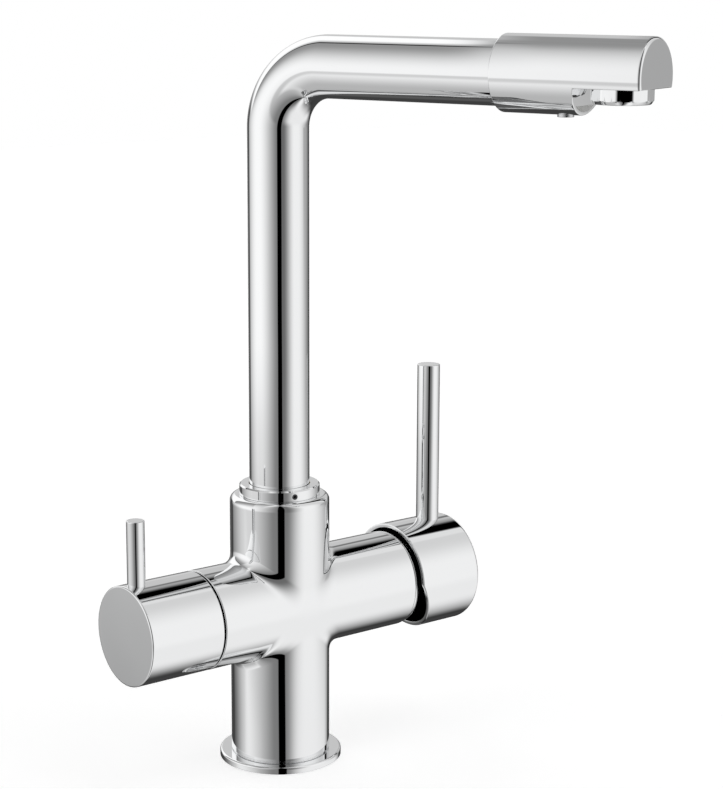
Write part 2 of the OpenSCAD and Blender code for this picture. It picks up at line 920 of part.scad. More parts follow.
module mixer_cartridge_body() {
  color(grey_plastic)
    on_mixer_arm()
      difference() {
        bar_x(cartridge_r, cartridge_x, cartridge_end_x);
        bar_x(cartridge_cavity_r, cartridge_x - overrun, turn_end_x + free_gap);
        bar_x(cartridge_mouth_r, cartridge_x, cartridge_end_x + overrun);
      }
}

module mixer_disc_fixed() {
  color(ceramic)
    on_mixer_arm()
      difference() {
        bar_x(fixed_disc_r, cartridge_x + mixer_disc_gap, cartridge_x + mixer_disc_gap + mixer_disc_t);
        mixer_ports(cartridge_x - overrun, cartridge_x + mixer_disc_t + overrun);
      }
}

module mixer_disc_moving() {
  hole_x = moving_disc_x + moving_disc_t - finger_hole_l;
  color(ceramic)
    on_mixer_arm()
      difference() {
        bar_x(moving_disc_r, moving_disc_x, moving_disc_x + moving_disc_t);
        bar_x(finger_tip_r + finger_hole_gap, hole_x, moving_disc_x + moving_disc_t + overrun);
      }
}

module mixer_carrier() {
  color(white_plastic)
    on_mixer_arm()
      difference() {
        bar_x(cartridge_cavity_r - free_gap, turn_x, turn_end_x);
        translate([turn_x - overrun, -hub_r - free_gap, -turn_slot_z])
          cube([turn_end_x - turn_x + 2 * overrun, 2 * (hub_r + free_gap), 2 * turn_slot_z]);
        translate([pivot_x, 0, 0])
          rotate([90, 0, 0])
            cylinder(r = pivot_pin_r + seat_gap, h = cartridge_r * 2, center = true);
      }
}

module mixer_pivot_pin() {
  half_l = cartridge_cavity_r - 2 * free_gap - pivot_pin_r;
  color(steel)
    on_mixer_arm()
      translate([pivot_x, 0, 0])
        rotate([90, 0, 0])
          cylinder(r = pivot_pin_r, h = 2 * half_l, center = true);
}

// The stem: a finger moves the disc, a hub turns on the pin, a bar carries the knob
module mixer_stem() {
  color(steel)
    on_mixer_arm()
      difference() {
        union() {
          translate([pivot_x - finger_l, 0, 0])
            sphere(r = finger_tip_r);
          bar_x(finger_r, pivot_x - finger_l, pivot_x);
          translate([pivot_x, 0, 0])
            sphere(r = hub_r);
          bar_x(stem_r, pivot_x, stem_end_x);
        }
        translate([pivot_x, 0, 0])
          rotate([90, 0, 0])
            cylinder(r = pivot_pin_r + run_gap, h = hub_r * 4, center = true);
      }
}

module mixer_cartridge_nut() {
  color(brass)
    on_mixer_arm()
      ring_x(cartridge_r, mixer_nut_bore_r, cartridge_end_x + seat_gap, mixer_nut_end_x);
}

module mixer_dome_ring() {
  rim = dome_x - pivot_x;
  skirt = mixer_nut_end_x + seat_gap - pivot_x;
  skirt_r = cartridge_r - seat_gap;
  color(chrome)
    on_mixer_arm()
      translate([pivot_x, 0, 0])
        rotate([0, 90, 0])
          rotate_extrude()
            difference() {
              union() {
                translate([dome_mouth_r, rim])
                  square([dome_r - dome_mouth_r, dome_rim_l]);
                intersection() {
                  circle(r = dome_ball_r, $fn = 180);
                  translate([dome_mouth_r, rim])
                    square([dome_r - dome_mouth_r, dome_ball_r]);
                }
                translate([dome_mouth_r, skirt])
                  square([skirt_r - dome_mouth_r, rim - skirt + dome_rim_l]);
              }
              circle(r = dome_ball_r - dome_wall, $fn = 180);
              translate([0, skirt - overrun])
                square([skirt_r - dome_skirt_wall, rim - skirt + dome_rim_l + overrun]);
            }
}

// The relief is one slanted cut from the kink at the knob's side down to its underside
module relief_cut() {
  translate([mixer_knob_x, 0, relief_z])
    rotate([0, -relief_angle, 0])
      translate([-mixer_knob_d, -mixer_knob_d, -2 * mixer_knob_d])
        cube([mixer_knob_d, 2 * mixer_knob_d, 2 * mixer_knob_d]);
}

module mixer_knob() {
  screw_x = mixer_boss_x + mixer_screw_inset;
  color(chrome)
    on_mixer_arm()
      difference() {
        rounded_bar_x(mixer_knob_r, mixer_knob_x, mixer_end_x, mixer_edge_r);
        difference() {
          bar_x(mixer_knob_r - mixer_knob_wall, mixer_knob_x - overrun, mixer_end_x - mixer_end_wall);
          bar_x(mixer_boss_r, mixer_boss_x, mixer_end_x);
          translate([mixer_pin_x, 0, 0])
            bar_z(mixer_pin_r + mixer_pin_boss_wall, 0, mixer_knob_r);
        }
        relief_cut();
        bar_x(stem_r + seat_gap, mixer_knob_x, stem_end_x + seat_gap);
        translate([mixer_pin_x, 0, 0]) {
          bar_z(mixer_pin_r + seat_gap, mixer_knob_r - pin_sink - seat_gap, mixer_knob_d);
          bar_z(mixer_pin_stud_r + seat_gap, mixer_knob_r - pin_sink - pin_stud_l - seat_gap,
                mixer_knob_r);
        }
        translate([screw_x, 0, 0]) {
          bar_z(knob_screw_r + seat_gap, -mixer_boss_r - overrun, 0);
          bar_z(knob_screw_way_r, -mixer_knob_d, -mixer_boss_r);
        }
      }
}

module mixer_lever_pin() {
  color(chrome)
    on_mixer_arm()
      lever_pin(mixer_pin_x, mixer_knob_r, mixer_pin_r, mixer_pin_l, mixer_pin_stud_r);
}

module mixer_knob_screw() {
  color(steel)
    on_mixer_arm()
      knob_screw(mixer_boss_x + mixer_screw_inset, stem_r);
}

base_flange();
deck_seal();
tap_body();
collar_ring();
collar_grub_screw();
spout_tube();
spout_bush();
spout_o_rings();
spout_slip_ring();
spout_head();
outlet_block();
aerator_housing();
aerator_insert();
aerator_washer();
filter_nozzle();
filter_inner_tube();
filter_spigot();
filter_spigot_seals();
filter_valve_seal();
filter_valve_body();
filter_valve_nut();
filter_disc_fixed();
filter_disc_turning();
filter_spindle();
filter_spindle_seal();
filter_knob();
filter_lever_pin();
filter_knob_screw();
mixer_base_seal();
mixer_cartridge_body();
mixer_disc_fixed();
mixer_disc_moving();
mixer_carrier();
mixer_pivot_pin();
mixer_stem();
mixer_cartridge_nut();
mixer_dome_ring();
mixer_knob();
mixer_lever_pin();
mixer_knob_screw();
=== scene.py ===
# %% [markdown]
# A polished kitchen tap is a small set of turned, bent and cast shapes whose whole look
# is reflection. So this lesson spends its effort on two things: surfaces that are
# smooth to a hair, and a plain studio with something dark to mirror.
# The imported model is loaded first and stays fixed. It knows every real size.

# %% Load the fixed model
import json
import math

import bmesh
import bpy
import numpy as np
from mathutils import Matrix


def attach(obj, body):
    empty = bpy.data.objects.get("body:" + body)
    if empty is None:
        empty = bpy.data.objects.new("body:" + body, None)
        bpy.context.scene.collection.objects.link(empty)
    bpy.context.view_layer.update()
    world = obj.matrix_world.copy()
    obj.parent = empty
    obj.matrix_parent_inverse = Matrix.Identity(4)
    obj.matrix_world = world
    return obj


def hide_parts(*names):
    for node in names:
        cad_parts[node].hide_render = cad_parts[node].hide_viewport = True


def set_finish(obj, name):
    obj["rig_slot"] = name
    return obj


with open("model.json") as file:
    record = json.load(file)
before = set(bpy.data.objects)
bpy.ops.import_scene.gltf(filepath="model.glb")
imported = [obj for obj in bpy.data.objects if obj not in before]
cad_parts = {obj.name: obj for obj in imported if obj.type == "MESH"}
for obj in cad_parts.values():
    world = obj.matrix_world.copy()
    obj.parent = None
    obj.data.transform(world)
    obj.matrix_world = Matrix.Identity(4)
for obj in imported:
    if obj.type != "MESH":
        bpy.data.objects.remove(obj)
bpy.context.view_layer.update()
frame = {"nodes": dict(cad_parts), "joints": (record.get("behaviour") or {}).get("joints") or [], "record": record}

# %% [markdown]
# All surfaces here are worked out in millimetres and turned into metres at the very end,
# because a tap's edges are tenths of a millimetre and read better that way.
# The driving sizes come from the fixed model: a helper measures how far a node reaches
# along a direction, so that the visible pieces follow the construction.

# %% Measure the fixed model
MM = 0.001
X_AXIS, Y_AXIS, Z_AXIS = np.eye(3)


def node_points(node):
    """All corners of a node as rows of x, y, z in millimetres."""
    mesh = frame["nodes"][node].data
    flat = np.empty(len(mesh.vertices) * 3)
    mesh.vertices.foreach_get("co", flat)
    return flat.reshape(-1, 3) / MM


def reach(node, direction):
    """Lowest and highest value of the corners' dot product with a direction."""
    along = node_points(node) @ np.asarray(direction, float)
    return along.min(), along.max()


def mount_point(name):
    """Place of a mount in millimetres."""
    found = [m for m in frame["record"]["mounts"] if m["name"] == name]
    return np.array(found[0]["pos_m"]) / MM


def level_way(point):
    """Level unit way from the upright's axis to a point."""
    return np.array([point[0], point[1], 0]) / math.hypot(point[0], point[1])


outlet = mount_point("aerator_outlet")
spout_way = level_way(outlet)
spout_side = np.cross(Z_AXIS, spout_way)
print("spout points to", np.round(spout_way, 4))

# %% [markdown]
# Nearly every piece of a tap is turned on a lathe, so its shape is an outline carried
# round an axis. A real turned edge is never razor sharp: it is broken by a small arc,
# and that arc catches the light as a fine bright line. The outline helper therefore
# takes corners with a radius each, and adds a holding point just beside each arc so that
# smooth shading doesn't bleed from the arc into the flat beside it.

# %% Outlines and turned shapes
ARC_STEPS = 6
TURN_COLS = 256
HOLD_SHARE = 0.3


def outline(corners, steps=ARC_STEPS):
    """An open path through corners given as (along, radius, rounding).

    Each corner with a rounding becomes an arc that touches both straight runs. With unit
    ways a and b out of the corner and half angle h between them, the arc starts
    rounding / tan(h) from the corner and turns about the point rounding / sin(h) along
    the bisector.
    """
    points = []
    last = len(corners) - 1
    for i, (along, radius, rounding) in enumerate(corners):
        corner = np.array([along, radius], float)
        if i in (0, last) or rounding == 0:
            points.append(corner[None])
            continue
        a = np.array(corners[i - 1][:2], float) - corner
        b = np.array(corners[i + 1][:2], float) - corner
        a, b = a / np.linalg.norm(a), b / np.linalg.norm(b)
        half = math.acos(np.clip(a @ b, -1, 1)) / 2
        cut = rounding / math.tan(half)
        middle = corner + (a + b) / np.linalg.norm(a + b) * rounding / math.sin(half)
        start, end = corner + a * cut - middle, corner + b * cut - middle
        share = np.linspace(0, 1, steps + 1)[:, None]
        turn = math.pi - 2 * half
        arc = (np.sin((1 - share) * turn) * start + np.sin(share * turn) * end) / math.sin(turn)
        hold = rounding * HOLD_SHARE
        points += [(corner + a * (cut + hold))[None], middle + arc, (corner + b * (cut + hold))[None]]
    return np.concatenate(points)


def full_turn(count):
    """Even angles once round."""
    return np.linspace(0, 2 * math.pi, count, endpoint=False)


def turned(path, centre, axis, around=TURN_COLS):
    """A path of (along, radius) carried round an axis.

    The point at angle u is centre + along * axis + radius * (cos u * side + sin u * other).
    """
    axis = np.asarray(axis, float)
    side = np.cross(axis, Z_AXIS if abs(axis[2]) < 0.9 else Y_AXIS)
    side /= np.linalg.norm(side)
    other = np.cross(axis, side)
    u = full_turn(around)
    ring = np.cos(u)[:, None] * side + np.sin(u)[:, None] * other
    along, radius = path[:, 0], path[:, 1]
    return np.asarray(centre, float) + along[:, None, None] * axis + radius[:, None, None] * ring


def grid_faces(rows, cols, loop_rows=False, first=0):
    """Four-sided faces between neighbouring rows and columns; columns always close."""
    i = np.arange(rows if loop_rows else rows - 1)[:, None]
    j = np.arange(cols)[None, :]
    below, right = (i + 1) % rows, (j + 1) % cols
    corners = [i * cols + j, i * cols + right, below * cols + right, below * cols + j]
    return np.stack(np.broadcast_arrays(*corners), -1).reshape(-1, 4) + first


# %% [markdown]
# The meshes are made through one door, so that all of them are closed, welded and
# turned outwards, sit at the origin and are shaded smooth up to a stated angle.

# %% Make a piece
WELD = 1e-6
pieces_made = []


def make_piece(name, grids, body, slot, nodes=(), loop_rows=False, sharp=40, window=None):
    """Grids of points, each (rows, columns, 3) in millimetres, become one welded mesh.

    A window is a mask over the first grid's points: faces with all corners in it are left out.
    """
    points, faces, first = [], [], 0
    for grid in grids:
        rows, cols = grid.shape[:2]
        points.append(grid.reshape(-1, 3))
        new_faces = grid_faces(rows, cols, loop_rows and first == 0, first)
        if window is not None and first == 0:
            new_faces = new_faces[~window.reshape(-1)[new_faces].all(axis=1)]
        faces.append(new_faces)
        first += rows * cols
    mesh = bpy.data.meshes.new(name)
    mesh.from_pydata((np.concatenate(points) * MM).tolist(), [], np.concatenate(faces).tolist())
    work = bmesh.new()
    work.from_mesh(mesh)
    bmesh.ops.remove_doubles(work, verts=work.verts, dist=WELD)
    bmesh.ops.dissolve_degenerate(work, edges=work.edges, dist=WELD / 10)
    bmesh.ops.recalc_face_normals(work, faces=work.faces)
    open_edges = sum(1 for edge in work.edges if len(edge.link_faces) != 2)
    work.to_mesh(mesh)
    work.free()
    mesh.polygons.foreach_set("use_smooth", np.ones(len(mesh.polygons), bool))
    mesh.set_sharp_from_angle(angle=math.radians(sharp))
    piece = bpy.data.objects.new(name, mesh)
    bpy.context.scene.collection.objects.link(piece)
    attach(piece, body)
    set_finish(piece, slot)
    if nodes:
        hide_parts(*nodes)
    pieces_made.append(piece)
    print(f"{name}: {len(mesh.polygons)} faces, {open_edges} open edges")
    return piece


# %% [markdown]
# The base flange is a thin turned plate with a rounded rim. The body stands on a
# slightly smaller step, which leaves a thin dark line between the two: a joint, not paint.

# %% Base flange
FLANGE_RIM = 0.9
SEAT_STEP = 0.6
SEAT_H = 0.55
FOOT_WALL = 3.15
flange_top = reach("base_flange", Z_AXIS)[1]
flange_r = reach("base_flange", X_AXIS)[1]
body_r = reach("tap_body", -Y_AXIS)[1]
flange_t = flange_top - SEAT_H
bore_r = body_r - FOOT_WALL
flange_path = outline([
    (0, bore_r, 0), (0, flange_r, 0.2), (flange_t, flange_r, FLANGE_RIM),
    (flange_t, body_r - SEAT_STEP, 0.15), (flange_top, body_r - SEAT_STEP, 0.1), (flange_top, bore_r, 0),
])
make_piece("flange_plate", [turned(flange_path, (0, 0, 0), Z_AXIS)], "tap", "polished_chrome",
           ["base_flange"], loop_rows=True)

# %% [markdown]
# The body is a casting: an upright and a cross arm that melt into each other with a
# fillet. A boolean would leave a knife edge there, and a remesh would blur the
# mirror. Instead four tubes of points start at the crease between the two cylinders and
# run outwards, and every point is then pushed onto one smooth field.
# The field is a soft minimum of the distances to the two cylinders. Where they meet
# squarely, at the sides, it gives a narrow fillet. At the front they meet at no angle at
# all, and there the same field spreads into the broad soft cross of hand polishing.

# %% The field of the blended cross
SIDE_BLEND = 4.5
FRONT_BLEND = 2.3
DOME_INSET = 0.5
arm_low, arm_high = reach("mixer_dome_ring", Z_AXIS)
arm_z = (arm_low + arm_high) / 2
arm_r = (arm_high - arm_low) / 2 + DOME_INSET


def cross_field(p):
    """Soft minimum of the distances d1 and d2 to the upright and to the arm.

    With blend width k it is min(d1, d2) - k / 4 * (1 - |d1 - d2| / k)^2. The width is
    sqrt((side blend * sin)^2 + front blend^2), with the sine between the two normals.
    """
    x, y, z = p[..., 0], p[..., 1], p[..., 2] - arm_z
    q1, q2 = np.hypot(x, y), np.hypot(y, z)
    d1, d2 = q1 - body_r, q2 - arm_r
    cosine = y * y / (q1 * q2)
    width = np.sqrt(SIDE_BLEND ** 2 * (1 - cosine ** 2) + FRONT_BLEND ** 2)
    return np.minimum(d1, d2) - width / 4 * np.maximum(1 - np.abs(d1 - d2) / width, 0) ** 2


def settle(p, field, rounds=16, step=1e-4):
    """Newton steps down the field's slope, which central differences give."""
    for _ in range(rounds):
        slope = np.stack([
            (field(p + step * axis) - field(p - step * axis)) / (2 * step)
            for axis in (X_AXIS, Y_AXIS, Z_AXIS)
        ], -1)
        size = np.maximum((slope ** 2).sum(-1, keepdims=True), 1e-6)
        p = p - field(p)[..., None] * slope / size
    return p


print("body radius", round(body_r, 2), "arm radius", round(arm_r, 2), "at height", round(arm_z, 2))

# %% [markdown]
# Each tube has the same columns round it, so the four meet corner to corner along the
# creases and weld without a gap. Rows lie close together in the fillet and spread out
# after it, and the last rows follow a turned outline that makes the end: the shoulder
# and neck on top, the pocket in each arm, and the spigot underneath.

# %% Body with its two arms
FINE_REACH = 14.0
FINE_ROWS = 42
FAR_ROWS = 8
EDGE = 0.5
t = full_turn(TURN_COLS)
mean_r = (body_r + arm_r) / 2
depth, rise = -mean_r * np.cos(t), mean_r * np.sin(t)


def cross_tube(place, end, end_path, tube_r):
    """Rows from the crease, where the way out equals |rise|, to the end, then its outline."""
    fine = np.linspace(0, 1, FINE_ROWS) ** 1.5 * FINE_REACH
    near = np.abs(rise) + fine[:, None]
    far_share = np.linspace(0, 1, FAR_ROWS + 1)[1:, None]
    far = near[-1] + (end - near[-1]) * far_share
    out = np.concatenate([near, far])
    start = place(out, np.broadcast_to(depth, out.shape), np.broadcast_to(rise, out.shape))
    body = settle(start, cross_field)
    ring = end_path[:, 1:] / tube_r
    scale = tube_r / mean_r
    cap = place(np.broadcast_to(end_path[:, :1], (len(end_path), TURN_COLS)),
                ring * depth * scale, ring * rise * scale)
    return np.concatenate([body, cap])


def arm_place(way):
    """Out is way * X and the tube's other way is +Z."""
    return lambda out, y, up: np.stack([way * out, y, arm_z + up], -1)


def upright_place(way):
    """Out is way * Z and the tube's other way is +X."""
    return lambda out, y, across: np.stack([across, y, arm_z + way * out], -1)


body_lo, body_hi = reach("tap_body", X_AXIS)
shoulder_z = reach("collar_ring", Z_AXIS)[0]
stub_top = reach("tap_body", Z_AXIS)[1]
neck_floor = reach("spout_slip_ring", Z_AXIS)[0] - 0.05
mixer_pocket_r, filter_pocket_r, neck_bore_r, stub_r = 17.7, 13.0, 16.0, 17.0
mixer_pocket_l = body_hi - reach("mixer_base_seal", X_AXIS)[0]
filter_pocket_l = reach("filter_valve_seal", X_AXIS)[1] - body_lo
SHOULDER_R = 3.0


def arm_end(length, pocket_r, pocket_l):
    """The broken edge, the end face, the pocket's wall and its floor."""
    return outline([
        (length - 1, arm_r, 0), (length, arm_r, EDGE), (length, pocket_r, 0.2),
        (length - pocket_l, pocket_r, 0.2), (length - pocket_l, 0, 0),
    ])


neck_path = outline([
    (shoulder_z - SHOULDER_R - 1 - arm_z, body_r, 0), (shoulder_z - arm_z, body_r, SHOULDER_R),
    (shoulder_z - arm_z, stub_r, 0.1), (stub_top - arm_z, stub_r, 0.2), (stub_top - arm_z, neck_bore_r, 0.2),
    (neck_floor - arm_z, neck_bore_r, 0.2), (neck_floor - arm_z, 0, 0),
], 9)
foot_path = outline([
    (arm_z - flange_top - 1.2, body_r, 0), (arm_z - flange_top - 0.05, body_r, 0.25),
    (arm_z - flange_top - 0.05, bore_r - 0.1, 0), (arm_z, bore_r - 0.1, 0.2), (arm_z, 0, 0),
])
body_grids = [
    cross_tube(arm_place(1), body_hi - 1.2, arm_end(body_hi, mixer_pocket_r, mixer_pocket_l), arm_r),
    cross_tube(arm_place(-1), -body_lo - 1.2, arm_end(-body_lo, filter_pocket_r, filter_pocket_l), arm_r),
    cross_tube(upright_place(1), neck_path[0, 0] - 0.2, neck_path, body_r),
    cross_tube(upright_place(-1), foot_path[0, 0] - 0.2, foot_path, body_r),
]
make_piece("tap_casting", body_grids, "tap", "polished_chrome", ["tap_body"])

# %% [markdown]
# The collar is a plain ring that clamps round the spout's foot. Its top edge is
# chamfered and its skirt hides the stub of the body. A small screw clamps it, at the
# bottom of a round hole in its front. To cut that hole without harming the mirror round
# it, a square window is left out of the lathe's grid, and a second grid runs from the
# window's border to the hole's circle and on down its wall.

# %% Collar
collar_r = reach("collar_ring", X_AXIS)[1]
collar_top = reach("collar_ring", Z_AXIS)[1]
spout_r = reach("spout_tube", spout_side)[1]
COLLAR_CHAMFER = 0.7
collar_path = outline([
    (shoulder_z + 2, stub_r + 0.05, 0), (shoulder_z + 0.03, stub_r + 0.05, 0),
    (shoulder_z + 0.03, collar_r, 0.15), (collar_top - COLLAR_CHAMFER, collar_r, 0.12),
    (collar_top, collar_r - COLLAR_CHAMFER, 0.12), (collar_top, spout_r + 0.3, 0.1),
    (collar_top - 0.6, spout_r + 0.3, 0), (collar_top - 0.6, stub_r + 0.05, 0),
    (shoulder_z + 2, stub_r + 0.05, 0),
])
HOLE_R = 1.3
HOLE_RIM = 0.12
HOLE_HALF = 1.8
HOLE_DEPTH = 2.2
HOLE_ROWS = 17
COLLAR_COLS = 512
screw_points = node_points("collar_grub_screw")
screw_middle = (screw_points.min(axis=0) + screw_points.max(axis=0)) / 2
hole_z = screw_middle[2]
hole_way = level_way(screw_middle)
hole_side = np.cross(Z_AXIS, hole_way)


def collar_wall_rows():
    """The turned path, with even rows let into its wall from the window's foot to its top."""
    heights = np.linspace(hole_z - HOLE_HALF, hole_z + HOLE_HALF, HOLE_ROWS)
    rows = np.stack([heights, np.full(HOLE_ROWS, collar_r)], -1)
    at = 1 + int(np.argmax((collar_path[:-1, 1] == collar_r) & (collar_path[1:, 1] == collar_r)
                           & (collar_path[1:, 0] - collar_path[:-1, 0] > 1)))
    return np.concatenate([collar_path[:at], rows, collar_path[at:]]), at


def border(window_grid):
    """The points round a rectangular block of the grid, once round."""
    low, high = window_grid[0, :-1], window_grid[-1, :0:-1]
    return np.concatenate([low, window_grid[:-1, -1], high, window_grid[:0:-1, 0]])


def hole_grid(edge_points):
    """Rows from the border to the circle on the collar's wall, over the rim and down.

    Across and up are each mixed from the border's place to the circle's, and the way out is
    what the cylinder's radius leaves: sqrt(r^2 - across^2).
    """
    across, up = edge_points @ hole_side, edge_points[:, 2] - hole_z
    angle = np.arctan2(up, across)
    radius = HOLE_R + HOLE_RIM
    rows = []
    for share in (0, 0.3, 0.6, 0.85, 1):
        a = across + (radius * np.cos(angle) - across) * share
        u = up + (radius * np.sin(angle) - up) * share
        rows.append((a, u, np.sqrt(collar_r ** 2 - a * a)))
    for radius, depth in ((HOLE_R + 0.03, 0.04), (HOLE_R, 0.14), (HOLE_R, HOLE_DEPTH - 0.05),
                          (HOLE_R, HOLE_DEPTH)):
        a = radius * np.cos(angle)
        rows.append((a, radius * np.sin(angle), np.sqrt(collar_r ** 2 - a * a) - depth))
    rows.append((0 * angle, 0 * angle, 0 * angle + collar_r - HOLE_DEPTH))
    return np.array([a[:, None] * hole_side + (hole_z + u)[:, None] * Z_AXIS + out[:, None] * hole_way
                     for a, u, out in rows])


collar_rows, wall_start = collar_wall_rows()
collar_grid = turned(collar_rows, (0, 0, 0), Z_AXIS, COLLAR_COLS)
wall = collar_grid[wall_start:wall_start + HOLE_ROWS]
in_reach = np.abs(wall[0] @ hole_side) <= HOLE_HALF
inside = np.flatnonzero(in_reach & (wall[0] @ hole_way > 0))
jump = np.flatnonzero(np.diff(inside) > 1)
columns = np.roll(inside, -(jump[0] + 1)) if len(jump) else inside
window = np.zeros(collar_grid.shape[:2], bool)
window[wall_start:wall_start + HOLE_ROWS, inside] = True
make_piece("collar", [collar_grid, hole_grid(border(wall[:, columns]))], "tap", "polished_chrome",
           ["collar_ring"], window=window)
print("window columns:", len(columns), "hole at", np.round(screw_middle, 2))

# %% [markdown]
# The spout is one tube bent cold round a former, so it is a circle carried along a path:
# straight up, a quarter turn, straight out. The circle's own way across never twists,
# because the path stays in one plane. The wall is carried back along the inside.

# %% Spout tube
BEND_R = 28.0
SPOUT_WALL = 1.2
spout_end = reach("spout_tube", spout_way)[1]
spout_foot = reach("spout_tube", Z_AXIS)[0]
head_high = reach("spout_head", Z_AXIS)[1]
head_back, head_tip = reach("spout_head", spout_way)
head_r = reach("spout_head", spout_side)[1]
spout_z = head_high - head_r


def spout_path():
    """Middle points and outward ways (away from the bend's centre) along the tube."""
    up = np.concatenate([np.linspace(spout_foot, spout_z - BEND_R - 1, 24), [spout_z - BEND_R - 0.2]])
    turn = np.linspace(0, math.pi / 2, 65)
    level = np.concatenate([[BEND_R + 0.2], np.linspace(BEND_R + 1, spout_end, 16)])
    along = np.concatenate([0 * up, BEND_R * (1 - np.cos(turn)), level])
    height = np.concatenate([up, spout_z - BEND_R * (1 - np.sin(turn)), 0 * level + spout_z])
    angle = np.concatenate([0 * up, turn, 0 * level + math.pi / 2])
    middle = along[:, None] * spout_way + height[:, None] * Z_AXIS
    outward = -np.cos(angle)[:, None] * spout_way + np.sin(angle)[:, None] * Z_AXIS
    return middle, outward


def pipe(middle, outward, radius, around=128):
    """The point at angle u is middle + radius * (cos u * outward + sin u * across)."""
    u = full_turn(around)
    return (middle[:, None] + radius * np.cos(u)[None, :, None] * outward[:, None]
            + radius * np.sin(u)[None, :, None] * spout_side)


middle, outward = spout_path()
outer = pipe(middle, outward, spout_r)
inner = pipe(middle[::-1], outward[::-1], spout_r - SPOUT_WALL)
make_piece("spout_pipe", [np.concatenate([outer, inner])], "spout", "polished_chrome", ["spout_tube"],
           loop_rows=True)

# %% [markdown]
# The head is a bar whose underside is cut away at the tip, so its end is a D. Round the
# bar the columns are shared out once: the arc that stays, the two small corner arcs, and
# the flat. Behind the step the same columns lie on the full circle, which lets one
# grid run from the socket to the tip.

# %% Spout head
NOTCH_L = 29.9
NOTCH_H = 11.7
HEAD_EDGE = 0.4
TIP_EDGE = 1.3
FLAT_SHARE = 0.4
STEP_SLANT = 0.22
STEP_EDGE = 0.25
D_CORNER = 0.35
BIG_COLS = 160
CORNER_COLS = 6
CHORD_COLS = 81
UNDER_COLS = CHORD_COLS + 2 * CORNER_COLS
notch_x = head_tip - NOTCH_L
notch_z = NOTCH_H - head_r
socket_r = spout_r + 0.05


def big_arc(radius, flat, corner):
    """Half the flat's width, the angle at the big arc's end, and the arc's angles."""
    reach_y = math.sqrt((radius - corner) ** 2 - (flat + corner) ** 2)
    low = math.atan2(flat + corner, reach_y)
    return reach_y, low, np.linspace(low, math.pi - low, BIG_COLS)


def d_ring(inset):
    """The D moved inwards: a big arc, a corner arc, the flat (by its share) and a corner arc."""
    radius, flat, corner = head_r - inset, notch_z + inset * FLAT_SHARE, max(D_CORNER - inset, 0.05)
    reach_y, low, big = big_arc(radius, flat, corner)
    small = np.linspace(0, 1, CORNER_COLS + 2)[1:-1]
    left = math.pi - low + (math.pi / 2 + low) * small
    chord = np.linspace(-reach_y, reach_y, CHORD_COLS)
    right = -math.pi / 2 + (math.pi / 2 + low) * small
    y = np.concatenate([radius * np.cos(big), -reach_y + corner * np.cos(left), chord,
                        reach_y + corner * np.cos(right)])
    z = np.concatenate([radius * np.sin(big), flat + corner + corner * np.sin(left), 0 * chord + flat,
                        flat + corner + corner * np.sin(right)])
    return y, z


def full_ring(radius):
    """The same columns on a circle: the big arc's angles, then the rest shared evenly."""
    _, low, big = big_arc(head_r, notch_z, D_CORNER)
    rest = np.linspace(math.pi - low, 2 * math.pi + low, UNDER_COLS + 2)[1:-1]
    angle = np.concatenate([big, rest])
    return radius * np.cos(angle), radius * np.sin(angle)


def head_row(x, ring):
    """One row at a place along the spout, leaning back below the flat as the step does."""
    y, z = ring
    share = np.clip((x - head_back) / (notch_x - head_back), 0, 1)
    along = x - STEP_SLANT * np.maximum(notch_z - z, 0) * share
    return along[:, None] * spout_way + y[:, None] * spout_side + (spout_z + z)[:, None] * Z_AXIS


def head_rows():
    """Socket, back face, edge, bar, rounded step, cut-away bar, edge and front face."""
    rows = [head_row(head_back + d, full_ring(r)) for d, r in outline([
        (16, 0, 0), (16, socket_r, 0.1), (0, socket_r, 0.15), (0, head_r, HEAD_EDGE), (3, head_r, 0)])]
    rows += [head_row(x, full_ring(head_r)) for x in np.linspace(head_back + 6, notch_x - 1, 12)]
    under = np.arange(BIG_COLS + UNDER_COLS) >= BIG_COLS
    circle, d_shape = np.array(full_ring(head_r)), np.array(d_ring(0))
    for turn in np.linspace(0, math.pi / 2, 5):
        shrunk = np.array(full_ring(head_r - STEP_EDGE * (1 - math.cos(turn))))
        x = notch_x - STEP_EDGE + STEP_EDGE * math.sin(turn)
        rows.append(head_row(x, np.where(under, shrunk, circle)))
    for share in (0.1, 0.5, 0.9):
        mixed = shrunk + (d_shape - shrunk) * share
        rows.append(head_row(notch_x, np.where(under, mixed, circle)))
    rows.append(head_row(notch_x, np.where(under, d_shape - [[0], [STEP_EDGE]], circle)))
    for turn in np.linspace(0, math.pi / 2, 5)[1:]:
        sunk = STEP_EDGE * (1 - math.sin(turn))
        x = notch_x + STEP_EDGE * (1 - math.cos(turn))
        rows.append(head_row(x, np.where(under, d_shape - [[0], [sunk]], d_shape)))
    rows += [head_row(x, d_shape) for x in np.linspace(notch_x + 0.5, head_tip - TIP_EDGE - 0.3, 12)]
    for turn in np.linspace(0, math.pi / 2, 13):
        x = head_tip - TIP_EDGE * (1 - math.sin(turn))
        rows.append(head_row(x, d_ring(TIP_EDGE * (1 - math.cos(turn)))))
    face = np.array(d_ring(TIP_EDGE))
    centre = np.array([[0], [head_r / 4]])
    for share in (0.98, 0.8, 0.5, 0.2, 0):
        rows.append(head_row(head_tip, centre + (face - centre) * share))
    return np.array(rows)


make_piece("head_shell", [head_rows()], "spout", "polished_chrome", ["spout_head"])

# %% [markdown]
# The aerator ring has twelve flats so that a spanner can grip it. Its outline round the
# axis is the radius of a regular polygon, apothem / cos(angle from the flat's middle),
# with the corner capped a little, as on the real one.

